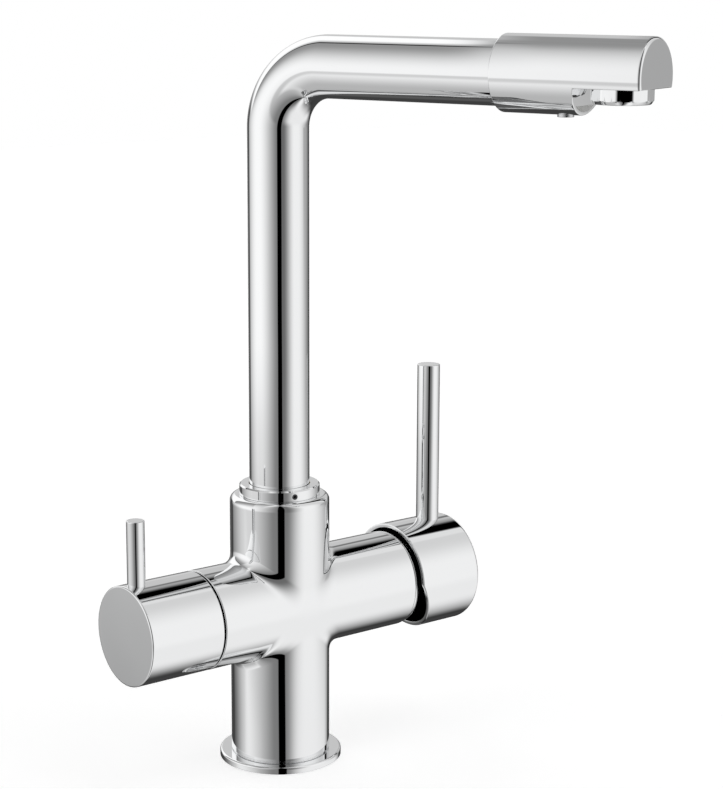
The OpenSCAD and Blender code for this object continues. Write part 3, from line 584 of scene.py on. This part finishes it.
# %% Aerator ring
AERATOR_SIDES = 12
FLAT_COLS = 24
AERATOR_TURN = 14.0
AERATOR_BORE = 10.0
AERATOR_THREAD = 11.55
AERATOR_D = 26.4
AERATOR_SHARP = 18
aerator_x = float(np.linalg.norm(outlet[:2]))
aerator_low, aerator_high = reach("aerator_housing", Z_AXIS)
aerator_face = spout_z + notch_z - 0.05
apothem = AERATOR_D / 2 * math.cos(math.pi / AERATOR_SIDES)
AERATOR_CHAMFER = (1.4, 0.9)


def faceted_ring(radius, share, angle):
    """A ring that blends from a circle (share 0) to the polygon (share 1)."""
    part = 2 * math.pi / AERATOR_SIDES
    from_flat = (angle - math.radians(AERATOR_TURN)) % part - part / 2
    polygon = apothem / np.cos(from_flat)
    return radius + (np.minimum(polygon, apothem * 1.03) - radius) * share


def aerator_grid():
    """Bore, lower lip, chamfer, facets, top face and thread, each row at its height."""
    angle = full_turn(AERATOR_SIDES * FLAT_COLS)
    rise, cut = AERATOR_CHAMFER
    rows = [
        (aerator_high, AERATOR_BORE, 0), (aerator_low + 0.3, AERATOR_BORE, 0),
        (aerator_low, AERATOR_BORE + 0.3, 0),
        (aerator_low, apothem - cut - 0.25, 0), (aerator_low + 0.08, apothem - cut - 0.06, 0),
        (aerator_low + 0.25, apothem - cut + 0.12, 0),
        (aerator_low + rise - 0.1, apothem - 0.08, 0), (aerator_low + rise, apothem - 0.01, 0.15),
        (aerator_low + rise + 0.35, apothem, 1), (aerator_face - 0.3, apothem, 1),
        (aerator_face - 0.08, apothem - 0.05, 0.95), (aerator_face, apothem - 0.3, 0),
        (aerator_face, AERATOR_THREAD, 0), (aerator_high, AERATOR_THREAD, 0),
    ]
    centre = aerator_x * spout_way
    grid = []
    for height, radius, share in rows:
        r = faceted_ring(radius, share, angle)
        around = np.cos(angle)[:, None] * spout_way + np.sin(angle)[:, None] * spout_side
        grid.append(centre + r[:, None] * around + height * Z_AXIS)
    return np.array(grid)


make_piece("aerator_ring", [aerator_grid()], "spout", "polished_chrome", ["aerator_housing"],
           loop_rows=True, sharp=AERATOR_SHARP)

# %% [markdown]
# The nozzle for filtered water is a short steel tube that just shows behind the aerator.

# %% Filtered water nozzle
nozzle_x = float(np.linalg.norm(mount_point("filtered_outlet")[:2]))
nozzle_low, nozzle_high = reach("filter_nozzle", Z_AXIS)
nozzle_r = (reach("filter_nozzle", spout_side)[1] - reach("filter_nozzle", spout_side)[0]) / 2
NOZZLE_BORE = 2.0
nozzle_path = outline([
    (nozzle_high, NOZZLE_BORE, 0), (nozzle_low, NOZZLE_BORE, 0.15), (nozzle_low, nozzle_r, 0.2),
    (nozzle_high, nozzle_r, 0),
])
make_piece("nozzle_tube", [turned(nozzle_path, nozzle_x * spout_way, Z_AXIS, 64)], "spout",
           "stainless_steel", ["filter_nozzle"], loop_rows=True)

# %% [markdown]
# The left knob is a turned cup: a skirt, a flat end and crisp edges. Its lever is a pin
# that stands on the skirt. Both follow the boxes of their nodes.

# %% Knob and lever for filtered water
FILTER_EDGE = 0.7
FILTER_WALL = 2.4
PIN_EDGE = 0.4
PIN_SINK = 4.0
FILTER_STUD_R = 2.5
MIXER_STUD_R = 3.0
filter_far, filter_near = reach("filter_knob", X_AXIS)
filter_r = reach("filter_knob", -Y_AXIS)[1]
arm_axis = (0, 0, arm_z)
filter_path = outline([
    (-filter_far - FILTER_WALL, 0, 0), (-filter_far - FILTER_WALL, filter_r - FILTER_WALL, 0.5),
    (-filter_near, filter_r - FILTER_WALL, 0.2), (-filter_near, filter_r, FILTER_EDGE),
    (-filter_far, filter_r, FILTER_EDGE), (-filter_far, 0, 0),
])
make_piece("filter_knob_cup", [turned(filter_path, arm_axis, -X_AXIS)], "filter_handle",
           "polished_chrome", ["filter_knob"])


def lever_piece(name, node, body, stud_r, knob_r):
    """A pin with a broken top edge, a foot sunk in the knob and a thinner stud."""
    low, high = reach(node, Z_AXIS)
    x_low, x_high = reach(node, X_AXIS)
    radius = (x_high - x_low) / 2
    foot_z = arm_z + knob_r - PIN_SINK
    path = outline([
        (low, 0, 0), (low, stud_r, 0.2), (foot_z, stud_r, 0.1), (foot_z, radius, 0.2),
        (high, radius, PIN_EDGE), (high, 0, 0),
    ])
    grid = turned(path, ((x_low + x_high) / 2, 0, 0), Z_AXIS, 128)
    return make_piece(name, [grid], body, "polished_chrome", [node])


lever_piece("filter_lever", "filter_lever_pin", "filter_handle", FILTER_STUD_R, filter_r)

# %% [markdown]
# The mixer's arm ends in a dome ring whose ball face is centred on the cartridge's
# pivot. The knob tips over it, so the gap between the two stays even.

# %% Dome ring
DOME_WALL = 1.5
DOME_RIM = 1.7
DOME_MOUTH = 13.3
pivot_x = next(j for j in frame["joints"] if j["name"] == "mixer_flow")["pos_m"][0] / MM
dome_start = body_hi + 0.3
dome_r = arm_r - DOME_INSET
dome_ball = math.hypot(dome_start + DOME_RIM - pivot_x, dome_r)
skirt_start = reach("mixer_dome_ring", X_AXIS)[0]
skirt_r = mixer_pocket_r - 0.1


def dome_path():
    """Skirt, rim, the arc of the ball from the rim to the mouth, and back inside."""
    rim_turn = math.asin(dome_r / dome_ball)
    mouth_turn = math.asin(DOME_MOUTH / dome_ball)
    turn = np.linspace(rim_turn, mouth_turn, 24)
    ball = np.stack([pivot_x + dome_ball * np.cos(turn), dome_ball * np.sin(turn)], -1)
    inner = dome_ball - DOME_WALL
    back = np.linspace(math.asin(DOME_MOUTH / inner), math.asin((skirt_r - 1.3) / inner), 12)
    inside = np.stack([pivot_x + inner * np.cos(back), inner * np.sin(back)], -1)
    rim = outline([
        (skirt_start, skirt_r - 1.3, 0), (skirt_start, skirt_r, 0), (dome_start, skirt_r, 0),
        (dome_start, dome_r, 0.2), (dome_start + DOME_RIM, dome_r, 0),
    ])
    return np.concatenate([rim, ball[1:], inside])


make_piece("dome_ring", [turned(dome_path(), arm_axis, X_AXIS)], "tap", "polished_chrome",
           ["mixer_dome_ring"], loop_rows=True)

# %% [markdown]
# The mixer knob is a cup too, but its rim is cut back along a slant below the middle, so
# that it can tip without touching the arm. The rim's place is therefore a function of
# the height on the knob: the plain end above the kink, and the slant below it.

# %% Mixer knob
MIXER_EDGE = 1.8
MIXER_WALL = 2.0
MIXER_END_WALL = 2.5
CUP_CORNER = 0.4
RELIEF_SLOPE = math.tan(math.radians(22))
RELIEF_Z = 1.5
RIM_EDGE = 0.25
knob_near, knob_far = reach("mixer_knob", X_AXIS)
knob_r = reach("mixer_knob", -Y_AXIS)[1]


def knob_grid():
    """Rows of constant radius whose place is the rim's place plus or up to a distance."""
    u = full_turn(TURN_COLS)

    def rim(radius):
        return knob_near + np.maximum(RELIEF_Z - radius * np.sin(u), 0) * RELIEF_SLOPE

    def row(x, radius):
        x = np.broadcast_to(x, u.shape)
        return np.stack([x, -radius * np.cos(u), arm_z + radius * np.sin(u)], -1)

    inner = knob_r - MIXER_WALL
    cup_floor = knob_far - MIXER_END_WALL
    wall_end = cup_floor - CUP_CORNER
    rows = [row(cup_floor, 0), row(cup_floor, inner - CUP_CORNER), row(wall_end, inner)]
    rows += [row(rim(inner) + (wall_end - rim(inner)) * share, inner) for share in (0.7, 0.4, 0.1)]
    for turn in np.linspace(0, math.pi / 2, 5):
        radius = inner + RIM_EDGE * (1 - math.cos(turn))
        rows.append(row(rim(radius) + RIM_EDGE * (1 - math.sin(turn)), radius))
    for turn in np.linspace(math.pi / 2, 0, 5):
        radius = knob_r - RIM_EDGE * (1 - math.cos(turn))
        rows.append(row(rim(radius) + RIM_EDGE * (1 - math.sin(turn)), radius))
    rows.append(row(rim(knob_r) + RIM_EDGE + 0.1, knob_r))
    start, stop = rim(knob_r) + RIM_EDGE + 0.1, knob_far - MIXER_EDGE - 0.5
    rows += [row(start + (stop - start) * share, knob_r) for share in np.linspace(0, 1, 8)[1:]]
    end = outline([(knob_far - 8, knob_r, 0), (knob_far, knob_r, MIXER_EDGE), (knob_far, 0, 0)], 16)
    rows += [row(x, radius) for x, radius in end[2:]]
    return np.array(rows)


mixer_cup = make_piece("mixer_knob_cup", [knob_grid()], "mixer_handle", "polished_chrome", ["mixer_knob"])
lever_piece("mixer_lever", "mixer_lever_pin", "mixer_handle", MIXER_STUD_R, knob_r)

# %% [markdown]
# Chrome plate is a mirror, but not a perfect one: polishing leaves faint waves in the
# metal, and hands leave a thin film that dulls it in patches. Both are shared by all
# the plated pieces, so they are one node group. It gives a roughness and a very fine
# height. The mirror itself is the metal shader's own job and stays in the material.

# %% Node helpers
def new_group(name, inputs, outputs):
    """A shader group with named number or colour sockets; returns it and its two ends."""
    group = bpy.data.node_groups.new(name, "ShaderNodeTree")
    for label, kind, value in inputs:
        socket = group.interface.new_socket(label, in_out="INPUT", socket_type=kind)
        socket.default_value = value
    for label, kind in outputs:
        group.interface.new_socket(label, in_out="OUTPUT", socket_type=kind)
    return group, group.nodes.new("NodeGroupInput"), group.nodes.new("NodeGroupOutput")


def feed(tree, socket, value):
    """Set an input to a value, or link it where the value is another node's output."""
    if isinstance(value, bpy.types.NodeSocket):
        tree.links.new(value, socket)
    else:
        socket.default_value = value


def add_node(tree, kind, settings=None, **inputs):
    """A node with its settings and its inputs, each a value or a link."""
    made = tree.nodes.new(kind)
    for key, value in (settings or {}).items():
        setattr(made, key, value)
    for key, value in inputs.items():
        feed(tree, made.inputs[key.replace("_", " ")], value)
    return made


def number(tree, operation, *values):
    """A math node over numbers and links; gives its output."""
    node = add_node(tree, "ShaderNodeMath", {"operation": operation})
    for socket, value in zip(node.inputs, values):
        feed(tree, socket, value)
    return node.outputs[0]


def blend(tree, factor, first, second):
    """The first number or output turning into the second as the factor goes from 0 to 1."""
    mix = add_node(tree, "ShaderNodeMix", {"data_type": "FLOAT"}, Factor=factor, A=first, B=second)
    return mix.outputs["Result"]


FLOAT = "NodeSocketFloat"

# %% Shared effects
def handled_surface():
    """Roughness that grows in soft smudges, and a height of faint polishing waves."""
    group, start, end = new_group(
        "handled_surface",
        [("Clean Roughness", FLOAT, 0.03), ("Film Roughness", FLOAT, 0.1), ("Film Scale", FLOAT, 40.0),
         ("Wave Scale", FLOAT, 18.0)],
        [("Roughness", FLOAT), ("Height", FLOAT)])
    place = add_node(group, "ShaderNodeTexCoord").outputs["Object"]
    film = add_node(group, "ShaderNodeTexNoise", Vector=place, Scale=start.outputs["Film Scale"],
                    Detail=5.0, Roughness=0.6)
    wave = add_node(group, "ShaderNodeTexNoise", Vector=place, Scale=start.outputs["Wave Scale"],
                    Detail=1.0, Roughness=0.4)
    mask = add_node(group, "ShaderNodeMapRange", Value=film.outputs["Fac"], From_Min=0.52, From_Max=0.8)
    roughness = blend(group, mask.outputs["Result"], start.outputs["Clean Roughness"],
                      start.outputs["Film Roughness"])
    feed(group, end.inputs["Roughness"], roughness)
    feed(group, end.inputs["Height"], wave.outputs["Fac"])
    return group


def fine_grain():
    """A mask of fine grain over the surface, for moulded and lapped pieces."""
    group, start, end = new_group(
        "fine_grain", [("Scale", FLOAT, 900.0), ("Low", FLOAT, 0.3), ("High", FLOAT, 0.5)],
        [("Height", FLOAT), ("Roughness", FLOAT)])
    place = add_node(group, "ShaderNodeTexCoord").outputs["Object"]
    grain = add_node(group, "ShaderNodeTexNoise", Vector=place, Scale=start.outputs["Scale"],
                     Detail=4.0, Roughness=0.55).outputs["Fac"]
    spread = add_node(group, "ShaderNodeMapRange", Value=grain, From_Min=0.3, From_Max=0.7,
                      To_Min=start.outputs["Low"], To_Max=start.outputs["High"])
    feed(group, end.inputs["Height"], grain)
    feed(group, end.inputs["Roughness"], spread.outputs["Result"])
    return group


HANDLED, GRAIN = handled_surface(), fine_grain()


def principled(name, color, metallic=0.0, **sockets):
    """A material with its shader; constants are set on the shader's own sockets."""
    material = bpy.data.materials.new(name)
    material.use_nodes = True
    tree = material.node_tree
    shader = tree.nodes["Principled BSDF"]
    for key, value in {"Base_Color": (*color, 1), "Metallic": metallic, **sockets}.items():
        feed(tree, shader.inputs[key.replace("_", " ")], value)
    return material, tree, shader


def place_group(tree, group, **inputs):
    """The shared group with its own values and links in this place."""
    return add_node(tree, "ShaderNodeGroup", {"node_tree": group}, **inputs)


def add_bump(tree, shader, height, distance):
    """A bump from a height in the range 0 to 1, with a real depth in metres."""
    bump = add_node(tree, "ShaderNodeBump", Distance=distance, Strength=1.0, Height=height)
    feed(tree, shader.inputs["Normal"], bump.outputs["Normal"])


# %% Chrome plate
CHROME_COLOR = (0.9, 0.905, 0.91)
CLEAN_ROUGHNESS = 0.02
FILM_ROUGHNESS = 0.06
WAVE_DEPTH = 0.0003


def chrome_material(name):
    """A mirror plate with smudges and faint waves."""
    material, tree, shader = principled(name, CHROME_COLOR, 1.0)
    surface = place_group(tree, HANDLED, Clean_Roughness=CLEAN_ROUGHNESS, Film_Roughness=FILM_ROUGHNESS)
    feed(tree, shader.inputs["Roughness"], surface.outputs["Roughness"])
    add_bump(tree, shader, surface.outputs["Height"], WAVE_DEPTH)
    return material, tree, shader


CHROME = chrome_material("polished_chrome")[0]

# %% [markdown]
# The inside of the mixer knob is painted near black and rough: painted shade that stands in for
# the dark of the deep cup. It shows as the black crescent behind the knob's rim, and the dome
# ring mirrors it. The same chrome is used, with its colour and roughness mixed by a mask:
# nearer the arm's line than the wall, past the lip, and short of the end face.

# %% Chrome with painted shade inside
# Painted shade: a near black, rough colour for the knob's deep inside.
CUP_SHADE_COLOR = (0.012, 0.012, 0.013)
CUP_SHADE_ROUGHNESS = 0.55
RIM_WIDTH = 1.85
LIP = 2.2
END_DEPTH = 1.0


def cup_inside(tree):
    """Mask of the cup's inside, where shade is painted, from Object coordinates.

    The lip's place along the arm is the rim's, knob_near + max(RELIEF_Z - up, 0) * slope,
    plus the lip's own length.
    """
    place = add_node(tree, "ShaderNodeTexCoord")
    x, y, z = add_node(tree, "ShaderNodeSeparateXYZ", Vector=place.outputs["Object"]).outputs
    up = number(tree, "SUBTRACT", z, arm_z * MM)
    radius = number(tree, "SQRT", number(tree, "MULTIPLY_ADD", y, y, number(tree, "MULTIPLY", up, up)))
    below = number(tree, "MAXIMUM", number(tree, "SUBTRACT", RELIEF_Z * MM, up), 0.0)
    lip = number(tree, "MULTIPLY_ADD", below, RELIEF_SLOPE, (knob_near + LIP) * MM)
    inside = number(tree, "LESS_THAN", radius, (knob_r - RIM_WIDTH) * MM)
    short = number(tree, "LESS_THAN", x, (knob_far - END_DEPTH) * MM)
    past = number(tree, "GREATER_THAN", x, lip)
    return number(tree, "MULTIPLY", number(tree, "MULTIPLY", inside, short), past)


def cup_material(name):
    """Chrome outside, painted shade inside."""
    material, tree, shader = chrome_material(name)
    mask = cup_inside(tree)
    color = add_node(tree, "ShaderNodeMix", {"data_type": "RGBA"}, Factor=mask)
    color.inputs[6].default_value = (*CHROME_COLOR, 1)
    color.inputs[7].default_value = (*CUP_SHADE_COLOR, 1)
    plated = shader.inputs["Roughness"].links[0].from_socket
    feed(tree, shader.inputs["Base Color"], color.outputs[2])
    feed(tree, shader.inputs["Roughness"], blend(tree, mask, plated, CUP_SHADE_ROUGHNESS))
    return material


MIXER_CUP = cup_material("chrome_with_painted_cup_shade")

# %% The other finishes
def grained_material(name, color, metallic, low, high, depth, scale=900.0, **sockets):
    """A surface of one colour with fine grain in its roughness and height."""
    material, tree, shader = principled(name, color, metallic, **sockets)
    grain = place_group(tree, GRAIN, Scale=scale, Low=low, High=high)
    feed(tree, shader.inputs["Roughness"], grain.outputs["Roughness"])
    add_bump(tree, shader, grain.outputs["Height"], depth)
    return material


FINISHES = {
    "polished_chrome": CHROME,
    "bare_brass": grained_material("bare_brass", (0.78, 0.6, 0.32), 1.0, 0.22, 0.36, 0.00001, 1400.0),
    "black_rubber": grained_material("black_rubber", (0.025, 0.025, 0.026), 0.0, 0.5, 0.7, 0.00003),
    "white_ceramic": grained_material("white_ceramic", (0.86, 0.85, 0.82), 0.0, 0.08, 0.16, 0.000004, 2000.0),
    "white_plastic": grained_material("white_plastic", (0.82, 0.82, 0.8), 0.0, 0.32, 0.46, 0.00002),
    "grey_plastic": grained_material("grey_plastic", (0.3, 0.31, 0.33), 0.0, 0.35, 0.5, 0.00002),
    "stainless_steel": grained_material("stainless_steel", (0.62, 0.62, 0.63), 1.0, 0.16, 0.3, 0.000008,
                                        1600.0),
}
slot_of = {part["node"]: part["material_slot"] for part in frame["record"]["subparts"]}
for node, thing in frame["nodes"].items():
    thing.data.materials.clear()
    thing.data.materials.append(FINISHES[slot_of[node]])
for piece in pieces_made:
    piece.data.materials.append(FINISHES[piece.get("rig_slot") or "polished_chrome"])
mixer_cup.data.materials[0] = MIXER_CUP
# Painted shade: the grub screw is coloured near black so that the hole in the collar reads as deep shade.
frame["nodes"]["collar_grub_screw"].data.materials[0] = grained_material(
    "screw_steel_painted_hole_shade", (0.09, 0.09, 0.095), 1.0, 0.25, 0.4, 0.000008, 1600.0)
print("finishes:", len(FINISHES))

# %% [markdown]
# Chrome has no colour of its own: it shows the room. So the studio matters as much as the
# mesh. Tap makers use two big soft panels, left and right of the camera, with a dark gap
# between them that draws the black stripe down the front, and black boards behind the
# tap on both sides, which draw the dark outlines. Over and under the spout and the arms
# hang long strips in line with them, because a level tube mirrors a band of the room
# that runs round its own line. All of it can be written as a function of direction, with
# no lamp at all, in three sets of angles: round the room's upright, round the spout's
# line and round the arms' line. One shared group says how much of a direction a soft
# edged patch covers, and each panel or board is that group with its own edges.

# %% Three ways to measure a direction
CAMERA_AZIMUTH = 38.54
azimuth = math.radians(CAMERA_AZIMUTH)
camera_right = np.array([math.cos(azimuth), -math.sin(azimuth), 0])
camera_level = np.array([math.sin(azimuth), math.cos(azimuth), 0])
RIGS = {
    "room": (-camera_level, camera_right, Z_AXIS),
    "spout": (-spout_side, Z_AXIS, spout_way),
    "arms": (-Y_AXIS, Z_AXIS, X_AXIS),
}

# %% A patch of directions with soft edges
HALF_TURN = 180.0
EDGES = ("Left Out", "Left In", "Right In", "Right Out", "Bottom Out", "Bottom In", "Top In", "Top Out")


def soft_patch():
    """Cover 0 to the opacity: it times four smooth steps, one for each edge of the patch."""
    labels = ("Turn", "Height", "Middle", "Opacity") + EDGES
    group, start, end = new_group("soft_patch", [(label, FLOAT, 0.0) for label in labels], [("Cover", FLOAT)])
    offset = number(group, "SUBTRACT", start.outputs["Turn"], start.outputs["Middle"])
    wrapped = number(group, "WRAP", offset, HALF_TURN, -HALF_TURN)
    cover = start.outputs["Opacity"]
    for source, out, inside in ((wrapped, "Left Out", "Left In"), (wrapped, "Right Out", "Right In"),
                                (start.outputs["Height"], "Bottom Out", "Bottom In"),
                                (start.outputs["Height"], "Top Out", "Top In")):
        step = add_node(group, "ShaderNodeMapRange", {"interpolation_type": "SMOOTHSTEP"}, Value=source,
                        From_Min=start.outputs[out], From_Max=start.outputs[inside])
        cover = number(group, "MULTIPLY", cover, step.outputs["Result"])
    feed(group, end.inputs["Cover"], cover)
    return group


PATCH = soft_patch()

# %% [markdown]
# Each line below is one panel, strip or board: the rig it hangs in, its brightness, how
# much it hides of what hangs behind it, and where its four soft edges start and end, in
# degrees. Turns run round the rig's line from the side that faces the camera, and heights
# run along it. Later lines hang in front of earlier ones.

# %% Panels and boards of the studio
ANY_HEIGHT = (-100, -95, 95, 100)
SPOUT_BAND = (-90, -80, -30, -27)
HEAD_BAND = (-30, -27, -12, -5)
HEAD_TOP_BAND = (-25, -23, -21, -19)
UNDER_BAND = (-55, -45, -15, -5)
ARM_BAND = (10, 20, 80, 90)
ARM_BACK = (25, 30, 80, 90)
ARM_UNDER = (10, 20, 50, 65)
WALL = 0.15
STUDIO = [
    ("room", "backdrop", 0.75, 1, (160, 170, 195, 210), (-5, 15, 95, 100)),
    ("room", "left panel", 1.05, 1, (-170, -85, -75, 10), ANY_HEIGHT),
    ("room", "right panel", 0.95, 1, (20, 65, 80, 155), ANY_HEIGHT),
    ("room", "right low panel", 0.9, 1, (5, 55, 125, 155), (-70, -40, -25, -10)),
    ("room", "left low", 0.0, 0.3, (-190, -165, -15, 0), (-100, -95, -15, -10)),
    ("room", "left back low", 0.05, 1, (-205, -190, -140, -80), (-100, -95, -25, -10)),
    ("room", "face board", 0.4, 0.8, (105, 115, 130, 140), (-10, -5, 0, 5)),
    ("room", "front gap", 0.0, 1, (-3, -1, 13, 15), ANY_HEIGHT),
    ("room", "left board", 0.05, 1, (-155, -145, -140, -130), (-30, -20, 10, 20)),
    ("room", "right board", 0.0, 1, (150, 160, 165, 170), (-30, -20, 10, 20)),
    ("room", "right low board", 0.0, 1, (145, 155, 190, 200), (-60, -50, -20, -15)),
    ("spout", "under light", 1.0, 1, (-70, -65, -30, -20), UNDER_BAND),
    ("spout", "under front", 0.5, 1, (-100, -80, -70, -10), UNDER_BAND),
    ("spout", "under back", 0.1, 1, (-140, -120, -110, -100), UNDER_BAND),
    ("spout", "under line", 0.0, 1, (-94, -93, -91, -90), UNDER_BAND),
    ("spout", "front slope", 0.3, 1, (0, 90, 95, 97), SPOUT_BAND),
    ("spout", "back light", 1.1, 1, (97, 115, 150, 180), SPOUT_BAND),
    ("spout", "head slope", 0.3, 1, (10, 120, 170, 185), HEAD_BAND),
    ("spout", "thin bar", 0.0, 1, (93, 96, 98, 101), SPOUT_BAND),
    ("arms", "front slope", 0.7, 1, (20, 80, 90, 95), ARM_BAND),
    ("arms", "edge light", 0.8, 1, (80, 85, 95, 100), ARM_BAND),
    ("arms", "top bar", 0.0, 1, (95, 100, 115, 125), ARM_BAND),
    ("arms", "back light", 0.6, 1, (120, 140, 160, 180), ARM_BACK),
    ("arms", "under", 0.05, 1, (-170, -155, -130, -55), ARM_UNDER),
    ("spout", "head top", 0.15, 0.9, (125, 140, 180, 190), HEAD_TOP_BAND),
]


def direction_angles(tree, place, rig):
    """Turn about the rig's line, 0 towards the camera's side, and height along it, in degrees.

    With the rig's unit ways front, side and pole the turn is atan2(d . side, d . front) and
    the height is asin(d . pole).
    """
    dots = []
    for way in rig:
        dot = add_node(tree, "ShaderNodeVectorMath", {"operation": "DOT_PRODUCT"},
                       Vector=place.outputs["Generated"])
        dot.inputs[1].default_value = way
        dots.append(dot.outputs["Value"])
    turn = number(tree, "ARCTAN2", dots[1], dots[0])
    height = number(tree, "ARCSINE", dots[2])
    return [number(tree, "DEGREES", radians) for radians in (turn, height)]


def studio_world():
    """Start from the wall and lay each patch over it; the camera itself sees white."""
    world = bpy.data.worlds.new("studio")
    world.use_nodes = True
    tree = world.node_tree
    place = add_node(tree, "ShaderNodeTexCoord")
    angles = {name: direction_angles(tree, place, rig) for name, rig in RIGS.items()}
    level = WALL
    for rig, label, brightness, opacity, turns, heights in STUDIO:
        middle = (turns[1] + turns[2]) / 2
        patch = place_group(tree, PATCH, Turn=angles[rig][0], Height=angles[rig][1], Middle=middle,
                            Opacity=opacity)
        patch.label = label
        for edge, value in zip(EDGES, [turn - middle for turn in turns] + list(heights)):
            patch.inputs[edge].default_value = value
        level = blend(tree, patch.outputs["Cover"], level, brightness)
    path = add_node(tree, "ShaderNodeLightPath")
    background = tree.nodes["Background"]
    background.inputs["Strength"].default_value = 1.0
    feed(tree, background.inputs["Color"], blend(tree, path.outputs["Is Camera Ray"], level, 1.0))
    bpy.context.scene.world = world
    print("studio patches:", len(STUDIO))


studio_world()

# %% [markdown]
# The floor is pale and plain. It keeps the tap's faint soft shadow, and a little light of its
# own, which only the camera sees, lifts the rest of it close to the white background.
# The metal looks past it at the studio, as it does when a tap is shot on a thin stand.

# %% Floor
FLOOR_HALF = 3.0
FLOOR_LIFT = 0.56
floor_mesh = bpy.data.meshes.new("studio_floor")
floor_mesh.from_pydata([(-FLOOR_HALF, -FLOOR_HALF, 0), (FLOOR_HALF, -FLOOR_HALF, 0),
                        (FLOOR_HALF, FLOOR_HALF, 0), (-FLOOR_HALF, FLOOR_HALF, 0)], [], [(0, 1, 2, 3)])
floor = bpy.data.objects.new("studio_floor", floor_mesh)
bpy.context.scene.collection.objects.link(floor)
floor.visible_glossy = False
floor_material, floor_tree, floor_shader = principled(
    "floor_paint", (0.85, 0.85, 0.85), Roughness=0.9, Emission_Color=(1, 1, 1, 1))
floor_path = add_node(floor_tree, "ShaderNodeLightPath")
floor_lift = number(floor_tree, "MULTIPLY", floor_path.outputs["Is Camera Ray"], FLOOR_LIFT)
feed(floor_tree, floor_shader.inputs["Emission Strength"], floor_lift)
floor_mesh.materials.append(floor_material)

# %% [markdown]
# The camera stands where the photographer stood: a long lens, a little above the
# tap, looking down by about twelve degrees.

# %% Camera
CAMERA_PLACE = (-553.4, -755.7, 368.4)
CAMERA_PITCH = 11.69
CAMERA_ROLL = 0.24
CAMERA_LENS = 94.52
camera_data = bpy.data.cameras.new("camera")
camera_data.lens = CAMERA_LENS
camera_data.sensor_width = 36
camera = bpy.data.objects.new("camera", camera_data)
bpy.context.scene.collection.objects.link(camera)
pitch, roll = math.radians(CAMERA_PITCH), math.radians(CAMERA_ROLL)
forward = camera_level * math.cos(pitch) - Z_AXIS * math.sin(pitch)
up = Z_AXIS * math.cos(pitch) + camera_level * math.sin(pitch)
turned_right = camera_right * math.cos(roll) + up * math.sin(roll)
turned_up = -camera_right * math.sin(roll) + up * math.cos(roll)
pose = np.eye(4)
pose[:3, 0], pose[:3, 1], pose[:3, 2] = turned_right, turned_up, -forward
pose[:3, 3] = np.array(CAMERA_PLACE) * MM
camera.matrix_world = Matrix(pose.tolist())
bpy.context.scene.camera = camera
bpy.context.scene.view_settings.view_transform = "Standard"
